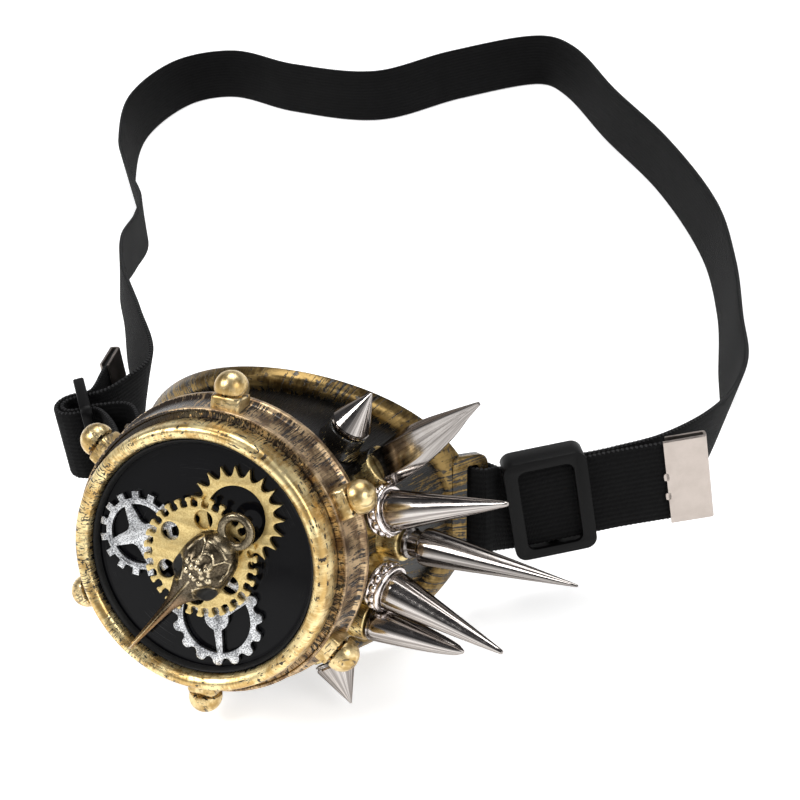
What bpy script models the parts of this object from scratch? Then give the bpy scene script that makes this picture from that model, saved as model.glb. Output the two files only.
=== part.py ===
"""One-eye goggle: an eye cup with a screw-on cap, gears and a bird skull charm glued on its lens,
metal spikes on its outer side, and an elastic head strap with two sliders.

The goggle is modelled in its own frame: X to the right, Y up the face and Z out of the lens, with the
origin at the middle of the bezel's inner edge. An empty tilts that frame and lifts it off the table.
The strap is modelled in the upright frame of the table. All lengths are in metres.
"""
import bpy
import bmesh
import math
from mathutils import Matrix, Vector

# Stand: the whole part lies on its cup's lower edge and on the strap, centred on the origin
goggle_tilt = math.radians(20.0)
stand_x = 0.04125
stand_y = -0.18408

# Fits
seat_gap = 0.0003
overrun = 0.002
weld_distance = 0.000001

# Bezel, the gold ring in front of the lens
bezel_outer_radius = 0.0285
bezel_width = 0.0035
bezel_inner_radius = bezel_outer_radius - bezel_width
bezel_crown_radius = bezel_outer_radius - bezel_width * 0.51
bezel_crown_height = 0.0013
bezel_depth = 0.0050
bezel_skirt_wall = 0.0013
lens_seat_depth = 0.0022

# Lens and its gasket
lens_thickness = 0.0015
gasket_width = 0.0009
gasket_height = 0.0013

# Cap ring behind the bezel, each part of it that much larger than the bezel
cap_step_reach = 0.0019
cap_band_reach = 0.0016
cap_lip_reach = 0.0034
cap_step_radius = bezel_outer_radius + cap_step_reach
cap_band_radius = bezel_outer_radius + cap_band_reach
cap_lip_radius = bezel_outer_radius + cap_lip_reach
cap_step_rise = 0.0007
cap_step_width = 0.0007
cap_band_flare = 0.0008
cap_lip_width = 0.0021
cap_lip_edge = 0.0005
cap_rear_depth = 0.0140

# Knobs round the cap
knob_count = 6
knob_phase = math.radians(23.4)
knob_depth = 0.0093
knob_base = 0.0064
knob_block_height = 0.0010
knob_ball_radius = 0.0036
knob_centre_reach = 0.0057
knob_centre_radius = bezel_outer_radius + knob_centre_reach
knob_sides = 12

# Spigot of the cup, which the cap screws onto
spigot_wall = 0.0018
spigot_gap = 0.0008
spigot_outer_radius = bezel_outer_radius - bezel_skirt_wall - spigot_gap
spigot_inner_radius = spigot_outer_radius - spigot_wall
barrel_radius = bezel_outer_radius
barrel_step = 0.0007

# Flange of the cup: an oval that is swept back at both ends
flange_side_reach = 0.0130
flange_top_reach = 0.0056
flange_half_width = barrel_radius + flange_side_reach
flange_half_height = barrel_radius + flange_top_reach
flange_shift = 0.0016
flange_depth = 0.0298
flange_sweep = 0.0209
flange_skew = 0.0018
flange_thickness = 0.0026
rim_band = 0.0048
rim_rise = 0.0008
cup_wall = 0.0022
flare_hollow = 0.0006
cup_turns = 48
goggle_rest = 0.00006
goggle_lift = (flange_half_height * math.cos(goggle_tilt) + flange_depth * math.sin(goggle_tilt)
               + goggle_rest)

# Lugs that hold the strap
lug_height = 0.0256
lug_width = 0.0094
lug_thickness = 0.0032
lug_stand_out = 0.0032
lug_edge_reach = flange_half_width + lug_stand_out
lug_corner = 0.0008
slot_width = 0.0030
slot_height = 0.0212
lug_bar = 0.0026

# Gears glued on the lens: tip radius, root radius, place across and place up the lens, all of them
# as shares of the lens opening's radius
gear_thickness = 0.0009
gear_shares = {
    "spoked_gear": (0.364, 0.308, -0.560, 0.140),
    "six_hole_gear": (0.508, 0.436, 0.008, 0.012),
    "sawtooth_ring": (0.420, 0.328, 0.320, 0.380),
    "sprocket": (0.412, 0.352, 0.120, -0.508),
}
spoked_rim_share = 0.256
six_hole_bore_share = 0.082
six_hole_circle_share = 0.328
saw_bore_share = 0.256
sprocket_rim_share = 0.304
sprocket_hub_share = 0.120

# Bird skull charm, in shares of the lens opening's radius too
beak_tip_x_share = -0.620
beak_tip_y_share = -0.816
skull_length = bezel_inner_radius * 1.412
skull_half_width = bezel_inner_radius * 0.240
skull_height = bezel_inner_radius * 0.216
skull_turn = math.radians(48.2)
beak_tip_lift = 0.0015
hollow_radius = skull_half_width * 0.37
hollow_spacing = skull_half_width * 1.36
hollow_reach = skull_length * 0.652
bail_radius = skull_half_width * 0.56
bail_wire = skull_half_width * 0.18
bail_reach = skull_length + bail_radius - bail_wire / 2

# Spikes
spike_sides = 20
boss_radius = 0.0044
boss_height = 0.0046
boss_edge = 0.0005
stud_radius = 0.0043
long_stud_length = 0.0290
short_stud_length = 0.0100
slender_length = 0.0400
slender_radius = 0.0042
blade_length = 0.0290
blade_radius = 0.0046
bullet_length = 0.0215
bullet_radius = 0.0039
collar_radius = 0.0041
collar_wire = 0.0012
collar_beads = 12

# Strap
strap_width = 0.0200
strap_thickness = 0.0012
layer_gap = 0.0004
loop_width = 0.2600
loop_depth = 0.3300
loop_start_run = 0.00813
loop_start_rise = 0.00824
loop_end_run = 0.00522
loop_end_rise = 0.00873
strap_step = 0.0080
strap_rest = 0.0002

# Sliders
slider_height = 0.0252
slider_length = 0.0188
slider_bar = 0.0030
slider_corner = 0.0022
slider_plate = 0.0013
turned_slider_plate = 0.0028

# End clips of folded sheet
clip_length = 0.0098
clip_sheet = 0.0005
clip_margin = 0.0006

for item in list(bpy.data.objects):
    bpy.data.objects.remove(item, do_unlink=True)

parts = bpy.data.collections.new("monocle")
bpy.context.scene.collection.children.link(parts)
cutters = bpy.data.collections.new("cutters")
bpy.context.scene.collection.children.link(cutters)


def material(name, colour, metallic, roughness):
    """A plain Principled material."""
    made = bpy.data.materials.new(name)
    made.use_nodes = True
    shader = made.node_tree.nodes["Principled BSDF"]
    shader.inputs["Base Color"].default_value = (*colour, 1.0)
    shader.inputs["Metallic"].default_value = metallic
    shader.inputs["Roughness"].default_value = roughness
    return made


antique_gold = material("antique_gold", (0.62, 0.45, 0.16), 0.9, 0.38)
bronze = material("brushed_bronze", (0.16, 0.11, 0.06), 0.8, 0.45)
skull_bronze = material("dark_bronze", (0.13, 0.10, 0.05), 0.9, 0.40)
pale_brass = material("pale_brass", (0.70, 0.58, 0.30), 0.9, 0.45)
silver = material("grainy_silver", (0.62, 0.63, 0.64), 0.9, 0.40)
chrome = material("mirror_chrome", (0.80, 0.80, 0.80), 1.0, 0.08)
nickel = material("nickel_sheet", (0.70, 0.69, 0.66), 1.0, 0.25)
black_glass = material("black_lens", (0.01, 0.01, 0.01), 0.0, 0.05)
black_rubber = material("black_gasket", (0.02, 0.02, 0.02), 0.0, 0.50)
webbing = material("black_webbing", (0.015, 0.015, 0.016), 0.0, 0.85)
black_plastic = material("black_plastic", (0.02, 0.02, 0.02), 0.0, 0.35)

stand = bpy.data.objects.new("stand", None)
parts.objects.link(stand)
stand.location = (stand_x, stand_y, 0.0)
goggle = bpy.data.objects.new("goggle", None)
parts.objects.link(goggle)
goggle.parent = stand
goggle.location = (0.0, 0.0, goggle_lift)
goggle.rotation_euler = (math.pi / 2 - goggle_tilt, 0.0, 0.0)


def goggle_to_table():
    """The matrix from the goggle's frame to the table's frame."""
    turn = Matrix.Rotation(math.pi / 2 - goggle_tilt, 4, "X")
    return Matrix.Translation((0.0, 0.0, goggle_lift)) @ turn


def place(item, parent, finish, smooth_angle=35.0):
    """Put an object into the part's collection with its parent and its material."""
    for old in list(item.users_collection):
        old.objects.unlink(item)
    parts.objects.link(item)
    item.parent = parent
    item.data.materials.clear()
    item.data.materials.append(finish)
    if item.type == "MESH":
        item.data.shade_smooth()
        item.data.set_sharp_from_angle(angle=math.radians(smooth_angle))
    return item


def as_cutter(item, parent):
    """Move an object to the cutters' collection, drawn as wire and left out of renders."""
    for old in list(item.users_collection):
        old.objects.unlink(item)
    cutters.objects.link(item)
    item.parent = parent
    item.hide_render = True
    item.display_type = "WIRE"
    return item


def boolean(target, other, operation):
    """Cut or join one mesh with another."""
    step = target.modifiers.new(operation.lower(), "BOOLEAN")
    step.operation = operation
    step.solver = "EXACT"
    step.object = other


def mesh_object(name, build):
    """An object whose mesh is filled by the given function."""
    mesh = bpy.data.meshes.new(name)
    shape = bmesh.new()
    build(shape)
    bmesh.ops.recalc_face_normals(shape, faces=shape.faces)
    shape.to_mesh(mesh)
    shape.free()
    item = bpy.data.objects.new(name, mesh)
    bpy.context.scene.collection.objects.link(item)
    return item


def loft(name, rings, ends="caps"):
    """A closed skin through rings of equally many points: capped, pointed to single points, or looped."""
    def build(shape):
        rows = [[shape.verts.new(point) for point in ring] for ring in rings]
        pairs = list(zip(rows, rows[1:]))
        if ends == "loop":
            pairs.append((rows[-1], rows[0]))
        for first, second in pairs:
            count = max(len(first), len(second))
            for index in range(count):
                after = (index + 1) % count
                corners = [first[index % len(first)], first[after % len(first)],
                           second[after % len(second)], second[index % len(second)]]
                shape.faces.new(list(dict.fromkeys(corners)))
        if ends == "caps":
            for row in (rows[0], rows[-1]):
                if len(row) > 2:
                    shape.faces.new(row)
    return mesh_object(name, build)


def box(name, size, centre, matrix=None):
    """A box from a cube primitive, with its scale applied."""
    def build(shape):
        frame = (matrix or Matrix.Identity(4)) @ Matrix.Translation(centre)
        bmesh.ops.create_cube(shape, size=1.0, matrix=frame @ Matrix.Diagonal((*size, 1.0)))
    return mesh_object(name, build)


def turned(name, profile, steps):
    """A body turned round Z from a profile of (radius, height) points, outer side from top to bottom."""
    mesh = bpy.data.meshes.new(name)
    closed = [(index, (index + 1) % len(profile)) for index in range(len(profile))]
    on_axis = profile[0][0] == 0.0 and profile[-1][0] == 0.0
    edges = closed[:-1] if on_axis else closed
    mesh.from_pydata([(radius, 0.0, height) for radius, height in profile], edges, [])
    item = bpy.data.objects.new(name, mesh)
    bpy.context.scene.collection.objects.link(item)
    screw = item.modifiers.new("turn", "SCREW")
    screw.axis = "Z"
    screw.angle = 2 * math.pi
    screw.steps = steps
    screw.render_steps = steps
    screw.use_merge_vertices = True
    screw.merge_threshold = weld_distance
    screw.use_smooth_shade = True
    return item


def flat_outline(name, loops, thickness):
    """A flat piece from closed outlines, the first outside and the others holes, extruded along Z."""
    curve = bpy.data.curves.new(name, "CURVE")
    curve.dimensions = "2D"
    curve.fill_mode = "BOTH"
    curve.extrude = thickness / 2
    for loop in loops:
        line = curve.splines.new("POLY")
        line.points.add(len(loop) - 1)
        for point, (across, up) in zip(line.points, loop):
            point.co = (across, up, 0.0, 1.0)
        line.use_cyclic_u = True
    item = bpy.data.objects.new(name, curve)
    bpy.context.scene.collection.objects.link(item)
    return item


def circle(radius, centre, count):
    """Points round a circle."""
    turn = 2 * math.pi / count
    return [(centre[0] + radius * math.cos(index * turn), centre[1] + radius * math.sin(index * turn))
            for index in range(count)]


def rounded_rectangle(length, height, corner, corner_points=4):
    """Points round a rectangle with quarter-circle corners."""
    points = []
    for quarter, (side, level) in enumerate(((1, 1), (-1, 1), (-1, -1), (1, -1))):
        middle_x = side * (length / 2 - corner)
        middle_y = level * (height / 2 - corner)
        for index in range(corner_points):
            turn = (quarter + index / (corner_points - 1)) * math.pi / 2
            points.append((middle_x + corner * math.cos(turn), middle_y + corner * math.sin(turn)))
    return points


def curve_to_mesh(item):
    """Replace a curve object by a mesh object with welded caps."""
    bpy.context.view_layer.update()
    graph = bpy.context.evaluated_depsgraph_get()
    mesh = bpy.data.meshes.new_from_object(item.evaluated_get(graph))
    shape = bmesh.new()
    shape.from_mesh(mesh)
    bmesh.ops.remove_doubles(shape, verts=shape.verts, dist=weld_distance)
    shape.to_mesh(mesh)
    shape.free()
    solid = bpy.data.objects.new(item.name, mesh)
    bpy.context.scene.collection.objects.link(solid)
    solid.matrix_world = item.matrix_world
    name = item.name
    bpy.data.objects.remove(item, do_unlink=True)
    solid.name = name
    return solid


def aim(position, direction):
    """A matrix at a position whose Z axis points along a direction."""
    turn = Vector(direction).to_track_quat("Z", "Y").to_matrix().to_4x4()
    return Matrix.Translation(position) @ turn


# Bezel
def make_bezel():
    inner_rise = (bezel_crown_radius - bezel_inner_radius) / 3
    skirt_inner = bezel_outer_radius - bezel_skirt_wall
    profile = [
        (bezel_inner_radius, 0.0),
        (bezel_inner_radius + inner_rise, bezel_crown_height * 0.65),
        (bezel_crown_radius, bezel_crown_height),
        (bezel_outer_radius - bezel_skirt_wall / 2, bezel_crown_height / 2),
        (bezel_outer_radius - bezel_skirt_wall / 8, -bezel_depth / 5),
        (bezel_outer_radius, -bezel_depth * 0.6),
        (bezel_outer_radius - bezel_skirt_wall / 6, -bezel_depth),
        (skirt_inner, -bezel_depth),
        (skirt_inner, -lens_seat_depth),
        (bezel_inner_radius, -lens_seat_depth),
    ]
    place(turned("front_bezel", profile, 48), goggle, antique_gold)


# Lens and gasket, between the bezel's lip and the spigot
lens_front = -lens_seat_depth - seat_gap
lens_back = lens_front - lens_thickness
lens_radius = bezel_outer_radius - bezel_skirt_wall - seat_gap
spigot_front = lens_back - seat_gap


def make_lens():
    chamfer = lens_thickness / 5
    profile = [
        (0.0, lens_front),
        (lens_radius - chamfer, lens_front),
        (lens_radius, lens_front - chamfer),
        (lens_radius, lens_back),
        (0.0, lens_back),
    ]
    place(turned("lens", profile, 48), goggle, black_glass)
    outer = bezel_inner_radius - seat_gap
    back = lens_front + seat_gap
    gasket = [
        (outer, back + gasket_height),
        (outer, back),
        (outer - gasket_width, back),
        (outer - gasket_width * 0.75, back + gasket_height / 2),
    ]
    place(turned("lens_gasket", gasket, 36), goggle, black_rubber)


# Cap ring: a front step, the brushed band and a rear lip
cap_front = -bezel_depth - seat_gap
cap_bore = bezel_outer_radius - bezel_skirt_wall
cap_rear = -cap_rear_depth


def cap_outline(gap=0.0):
    """The outer side of the cap ring from front to rear, grown by a gap."""
    lip_front = cap_rear + cap_lip_width
    step_back = cap_front + cap_step_rise - cap_step_width * 2
    return [
        (cap_step_radius - cap_step_width + gap, cap_front + cap_step_rise + gap),
        (cap_step_radius + gap, cap_front + cap_step_rise + gap),
        (cap_step_radius + gap, step_back),
        (cap_band_radius + gap, step_back - cap_step_width / 2),
        (cap_band_radius + cap_band_flare + gap, lip_front + cap_lip_edge + gap),
        (cap_lip_radius - cap_lip_edge + gap, lip_front + gap),
        (cap_lip_radius + gap, lip_front - cap_lip_edge),
        (cap_lip_radius + gap, cap_rear + cap_lip_edge),
        (cap_lip_radius - cap_lip_edge + gap, cap_rear - gap),
    ]


def make_cap_ring():
    groove = cap_step_radius - cap_step_width
    profile = [(cap_bore, cap_front), (groove, cap_front)] + cap_outline() + [(cap_bore, cap_rear)]
    place(turned("cap_ring", profile, 48), goggle, bronze)


# Knobs: a ball that sits in the top of a square block
def knob_foot():
    """The block's foot from front to rear, as (radius, level) just outside the cap ring."""
    outline = cap_outline(seat_gap)
    front = -knob_depth + knob_base / 2
    rear = -knob_depth - knob_base / 2
    levels = [front] + [level for _, level in outline if rear < level < front] + [rear]
    foot = []
    for level in levels:
        for (radius, upper), (next_radius, lower) in zip(outline, outline[1:]):
            if lower <= level <= upper and lower < upper:
                foot.append((radius + (next_radius - radius) * (upper - level) / (upper - lower), level))
                break
    return foot


def make_knobs():
    block_top = cap_lip_radius + knob_block_height - knob_centre_radius
    half = knob_base / 2
    bevel = knob_base / 12
    foot = knob_foot()
    blocks = []
    for radius, level in foot:
        along = -knob_depth - level
        low = radius - knob_centre_radius
        top = block_top - bevel if level in (foot[0][1], foot[-1][1]) else block_top
        blocks.append([(along, -half, low), (along, half, low), (along, half, top - bevel),
                       (along, half - bevel, top), (along, bevel - half, top), (along, -half, top - bevel)])
    rings = []
    for share in (-0.5, -0.2, 0.1, 0.4, 0.65, 0.9):
        height = knob_ball_radius * share
        width = math.sqrt(knob_ball_radius ** 2 - height ** 2)
        rings.append([(*point, height) for point in circle(width, (0.0, 0.0), knob_sides)])
    rings.append([(0.0, 0.0, knob_ball_radius)])
    for number in range(knob_count):
        turn = knob_phase + number * 2 * math.pi / knob_count
        outward = Vector((math.cos(turn), math.sin(turn), 0.0))
        centre = outward * knob_centre_radius + Vector((0.0, 0.0, -knob_depth))
        frame = Matrix.Translation(centre) @ Matrix.Rotation(turn, 4, "Z") @ Matrix.Rotation(math.pi / 2, 4, "Y")
        knob = loft(f"cap_knob_{number + 1}", blocks)
        knob.matrix_local = frame
        ball = as_cutter(loft("knob_ball", rings), goggle)
        ball.matrix_local = frame
        boolean(knob, ball, "UNION")
        place(knob, goggle, antique_gold)


# Cup
barrel_front = cap_rear - seat_gap


def flange_level(across):
    """Height of the flange's middle surface at a distance across the face."""
    share = (across - flange_shift) / flange_half_width
    return -flange_depth - flange_sweep * share ** 2 - flange_skew * across / flange_half_width


def rim_point(turn, inset, rise):
    """A point on the flange, inset from its outer edge and risen from its middle surface."""
    across = flange_shift + (flange_half_width - inset) * math.cos(turn)
    up = (flange_half_height - inset) * math.sin(turn)
    return Vector((across, up, flange_level(across) + rise))


def barrel_point(turn, radius, level):
    return Vector((radius * math.cos(turn), radius * math.sin(turn), level))


def flare_point(turn, share):
    """A point on the outer surface between the barrel and the flange's rim band."""
    start = barrel_point(turn, barrel_radius, barrel_front - barrel_step)
    end = rim_point(turn, rim_band, flange_thickness / 2)
    hollow = barrel_point(turn, flare_hollow * math.sin(math.pi * share), 0.0)
    return start.lerp(end, share) - hollow


def cup_section(turn):
    """The closed section of the cup at one angle, from the spigot's front round to its inside."""
    top = flange_thickness / 2
    raised = top + rim_rise
    edge = rim_band / 5
    points = [
        barrel_point(turn, spigot_inner_radius, spigot_front),
        barrel_point(turn, spigot_outer_radius, spigot_front),
        barrel_point(turn, spigot_outer_radius, barrel_front),
        barrel_point(turn, barrel_radius, barrel_front),
    ]
    points += [flare_point(turn, share) for share in (0.0, 0.35, 0.7, 1.0)]
    points += [
        rim_point(turn, rim_band - edge / 2, raised),
        rim_point(turn, rim_band / 2, raised + rim_rise / 2),
        rim_point(turn, edge, raised - rim_rise / 2),
        rim_point(turn, 0.0, 0.0),
        rim_point(turn, edge, -top),
        rim_point(turn, rim_band, -top),
        rim_point(turn, rim_band + cup_wall / 2, top - cup_wall),
        barrel_point(turn, spigot_inner_radius, barrel_front - barrel_step - cup_wall),
    ]
    return points


def lug_frame(side):
    """The middle of a lug's outer edge: X runs outward along the swept flange, Z out of its front."""
    reach = side * lug_edge_reach
    slope = (flange_level(reach + overrun) - flange_level(reach - overrun)) / (2 * overrun)
    outward = Vector((side, 0.0, side * slope)).normalized()
    normal = Vector((-side * outward.z, 0.0, side * outward.x))
    upward = normal.cross(outward)
    frame = Matrix((outward, upward, normal)).transposed().to_4x4()
    return Matrix.Translation((reach, 0.0, flange_level(reach))) @ frame


# Spikes: foot angle, foot share down the flare, aim angle round the lens axis, lean to the front
spike_places = {
    "spike_1_small": (46.7, 0.36, 55.0, 11.6),
    "spike_2_blade": (29.7, 0.38, 35.7, 16.0),
    "spike_3_long": (14.0, 0.20, 13.3, 16.0),
    "spike_4_slender": (-0.1, 0.37, -2.6, 14.9),
    "spike_5_long": (-14.8, 0.19, -16.3, 15.5),
    "spike_6_bullet": (-36.2, 0.28, -8.2, 7.9),
    "spike_7_small": (-52.3, 0.29, -61.9, 11.0),
}


def spike_frame(name):
    """A frame on the cup's surface at a spike's foot, with Z along the spike."""
    angle, share, aim_angle, lean = spike_places[name]
    level = math.radians(aim_angle)
    rise = math.radians(lean)
    direction = Vector((math.cos(rise) * math.cos(level), math.cos(rise) * math.sin(level),
                        math.sin(rise)))
    return aim(flare_point(math.radians(angle), share), direction)


def has_collar(name):
    return name.endswith("long")


def boss_top(name):
    """Height of a spike's boss above its foot."""
    return boss_height - collar_wire if has_collar(name) else boss_height


def make_cup():
    rings = [cup_section(2 * math.pi * index / cup_turns) for index in range(cup_turns)]
    cup = loft("cup_shell", rings, ends="loop")
    for side in (-1, 1):
        frame = lug_frame(side)
        lug = box("lug", (lug_width, lug_height, lug_thickness), (-lug_width / 2, 0.0, 0.0), frame)
        bevel = lug.modifiers.new("edges", "BEVEL")
        bevel.width = lug_corner
        bevel.segments = 2
        boolean(cup, as_cutter(lug, goggle), "UNION")
    for name in spike_places:
        top = boss_top(name)
        sunk = -cup_wall / 2
        profile = [(0.0, top), (boss_radius - boss_edge, top), (boss_radius, top - boss_edge),
                   (boss_radius, sunk), (0.0, sunk)]
        boss = turned("boss", profile, 24)
        boss.matrix_local = spike_frame(name)
        boolean(cup, as_cutter(boss, goggle), "UNION")
    for side in (-1, 1):
        middle = -lug_bar - slot_width / 2
        deep = lug_thickness + overrun * 2
        slot = box("slot", (slot_width, slot_height, deep), (middle, 0.0, 0.0), lug_frame(side))
        boolean(cup, as_cutter(slot, goggle), "DIFFERENCE")
    place(cup, goggle, antique_gold)


# Spikes and collars
def spike_base(name):
    """Height of a spike's own base above its foot."""
    above = boss_top(name) + seat_gap
    return above + collar_wire * 1.2 + seat_gap if has_collar(name) else above


def round_spike(name, radius, length, bulge):
    """A turned spike whose side bulges a little or runs straight."""
    edge = radius / 10
    profile = [(0.0, length)]
    for share in (0.97, 0.75, 0.5, 0.25):
        width = radius * (1 - share) ** (1 - bulge)
        profile.append((width, length * share))
    profile += [(radius, edge * 2), (radius - edge, 0.0), (0.0, 0.0)]
    return turned(name, profile, spike_sides)


def blade_spike(name):
    """A spike that goes from a round foot to a flattened blade with four facets."""
    rings = []
    for share, roundness, flatness in ((0.0, 2.0, 1.0), (0.10, 2.0, 1.0), (0.18, 1.5, 0.95),
                                       (0.45, 1.1, 0.85), (0.75, 1.0, 0.75)):
        widths = {0.0: 0.9, 0.10: 1.0, 0.18: 0.93, 0.45: 0.72, 0.75: 0.36}
        ring = []
        for index in range(spike_sides):
            turn = 2 * math.pi * index / spike_sides
            cosine = abs(math.cos(turn))
            sine = abs(math.sin(turn))
            reach = (cosine ** roundness + sine ** roundness) ** (-1 / roundness)
            half = blade_radius * widths[share] * reach
            ring.append((half * math.cos(turn), half * flatness * math.sin(turn), blade_length * share))
        rings.append(ring)
    rings.append([(0.0, 0.0, blade_length)])
    return loft(name, rings)


def make_collar(name, frame):
    """A ring whose wire swells into beads."""
    rings = []
    steps = collar_beads * 3
    for index in range(steps):
        turn = 2 * math.pi * index / steps
        swell = 0.72 + 0.28 * abs(math.cos(turn * collar_beads / 2))
        ring = []
        for corner in range(6):
            around = 2 * math.pi * corner / 6
            reach = collar_radius + collar_wire * swell * math.cos(around)
            level = collar_wire * 0.6 * (1 + math.sin(around) / math.sin(math.pi / 3))
            ring.append((reach * math.cos(turn), reach * math.sin(turn), level))
        rings.append(ring)
    collar = loft(name, rings, ends="loop")
    collar.matrix_local = frame
    place(collar, goggle, silver, 60.0)


def make_spikes():
    for name in spike_places:
        if name.endswith("long"):
            spike = round_spike(name, stud_radius, long_stud_length, 0.0)
        elif name.endswith("slender"):
            spike = round_spike(name, slender_radius, slender_length, 0.1)
        elif name.endswith("bullet"):
            spike = round_spike(name, bullet_radius, bullet_length, 0.35)
        elif name.endswith("blade"):
            spike = blade_spike(name)
        else:
            spike = round_spike(name, stud_radius, short_stud_length, 0.0)
        frame = spike_frame(name)
        spike.matrix_local = frame @ Matrix.Translation((0.0, 0.0, spike_base(name)))
        place(spike, goggle, chrome)
        if has_collar(name):
            seat = Matrix.Translation((0.0, 0.0, boss_top(name) + seat_gap))
            make_collar(name.replace("spike", "collar").replace("_long", ""), frame @ seat)


# Gears
def tooth_outline(name, teeth, tooth_shares):
    """A gear's outline: each tooth repeats (share of the pitch, share from root to tip)."""
    tip, root = gear_sizes(name)[:2]
    pitch = 2 * math.pi / teeth
    points = []
    for tooth in range(teeth):
        for along, rise in tooth_shares:
            turn = (tooth + along) * pitch
            radius = root + (tip - root) * rise
            points.append((radius * math.cos(turn), radius * math.sin(turn)))
    return points


square_tooth_shares = ((-0.24, 0.0), (-0.2, 1.0), (0.2, 1.0), (0.24, 0.0))
hammer_tooth_shares = ((-0.15, 0.1), (-0.27, 0.75), (-0.21, 1.0), (0.21, 1.0), (0.27, 0.75),
                       (0.15, 0.1), (0.5, -0.15))
saw_tooth_shares = ((0.0, 1.0), (0.13, 0.5), (0.27, 0.12), (0.5, 0.0), (0.73, 0.12), (0.87, 0.5))
scallop_tooth_shares = ((-0.3, 0.25), (-0.22, 0.75), (-0.08, 1.0), (0.08, 1.0), (0.22, 0.75),
                        (0.3, 0.25), (0.5, 0.0))


def lens_window(radius, depth, middle, half_angle, steps=6):
    """A pointed oval between a gear's rim circle and an arc that bulges towards its hub."""
    outer = []
    inner = []
    for index in range(steps + 1):
        share = 2 * index / steps - 1
        turn = middle + share * half_angle
        outer.append((radius * math.cos(turn), radius * math.sin(turn)))
        if abs(share) < 1:
            inward = radius - depth * (1 - share ** 2)
            inner.append((inward * math.cos(turn), inward * math.sin(turn)))
    return outer + inner[::-1]


def sector_window(outer_radius, inner_radius, middle, outer_half, inner_half, steps=8):
    """A large window between two spokes that flare towards the hub."""
    outer = []
    inner = []
    for index in range(steps + 1):
        share = 2 * index / steps - 1
        turn = middle + share * outer_half
        outer.append((outer_radius * math.cos(turn), outer_radius * math.sin(turn)))
        turn = middle + share * inner_half
        inner.append((inner_radius * math.cos(turn), inner_radius * math.sin(turn)))
    return outer + inner[::-1]


first_layer = lens_front + seat_gap + gear_thickness / 2
second_layer = first_layer + gear_thickness + seat_gap
charm_back = second_layer + gear_thickness / 2 + seat_gap


def gear_sizes(name):
    """A gear's tip radius, root radius and place on the lens."""
    return [bezel_inner_radius * share for share in gear_shares[name]]


def make_gear(name, loops, level, finish, turn=0.0):
    gear = flat_outline(name, loops, gear_thickness)
    gear.location = (*gear_sizes(name)[2:], level)
    gear.rotation_euler = (0.0, 0.0, math.radians(turn))
    place(gear, goggle, finish)


def make_gears():
    quarter = math.pi / 2
    rim = bezel_inner_radius * spoked_rim_share
    windows = [lens_window(rim, rim * 0.42, (index + 0.5) * quarter, quarter * 0.42, 8)
               for index in range(4)]
    outline = tooth_outline("spoked_gear", 15, square_tooth_shares)
    make_gear("spoked_gear", [outline] + windows, first_layer, silver, 22.0)

    sixth = math.pi / 3
    ring = bezel_inner_radius * six_hole_circle_share
    bore = bezel_inner_radius * six_hole_bore_share
    holes = [circle(bore, (ring * math.cos((index + 0.5) * sixth), ring * math.sin((index + 0.5) * sixth)), 10)
             for index in range(6)]
    outline = tooth_outline("six_hole_gear", 30, hammer_tooth_shares)
    make_gear("six_hole_gear", [outline] + holes, second_layer, pale_brass, -7.7)

    outline = tooth_outline("sawtooth_ring", 20, saw_tooth_shares)
    bore = bezel_inner_radius * saw_bore_share
    make_gear("sawtooth_ring", [outline, circle(bore, (0.0, 0.0), 30)], first_layer, pale_brass)

    third = 2 * math.pi / 3
    rim = bezel_inner_radius * sprocket_rim_share
    hub = bezel_inner_radius * sprocket_hub_share
    windows = [sector_window(rim, hub, (index + 0.54) * third, third * 0.45, third * 0.26)
               for index in range(3)]
    outline = tooth_outline("sprocket", 15, scallop_tooth_shares)
    make_gear("sprocket", [outline] + windows, first_layer, silver, -90.0)


# Skull: sections along its axis from the beak's tip
# share of the length, share of the half width, share of the height, ridge exponent, share of tip lift
skull_section_shares = (
    (0.00, 0.06, 0.10, 1.2, 1.0),
    (0.25, 0.16, 0.24, 1.2, 0.5),
    (0.42, 0.28, 0.36, 1.3, 0.0),
    (0.52, 0.48, 0.48, 1.4, 0.0),
    (0.59, 0.80, 0.60, 1.7, 0.0),
    (0.67, 0.95, 0.74, 2.0, 0.0),
    (0.78, 1.00, 0.96, 2.3, 0.0),
    (0.87, 0.92, 1.00, 2.4, 0.0),
    (0.94, 0.70, 0.84, 2.3, 0.0),
    (1.00, 0.34, 0.42, 2.2, 0.0),
)
skull_section_points = 9


def skull_frame():
    """A frame at the beak's tip with X along the skull towards the crown and Z out of the lens."""
    tip = (bezel_inner_radius * beak_tip_x_share, bezel_inner_radius * beak_tip_y_share, charm_back)
    return Matrix.Translation(tip) @ Matrix.Rotation(skull_turn, 4, "Z")


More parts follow.
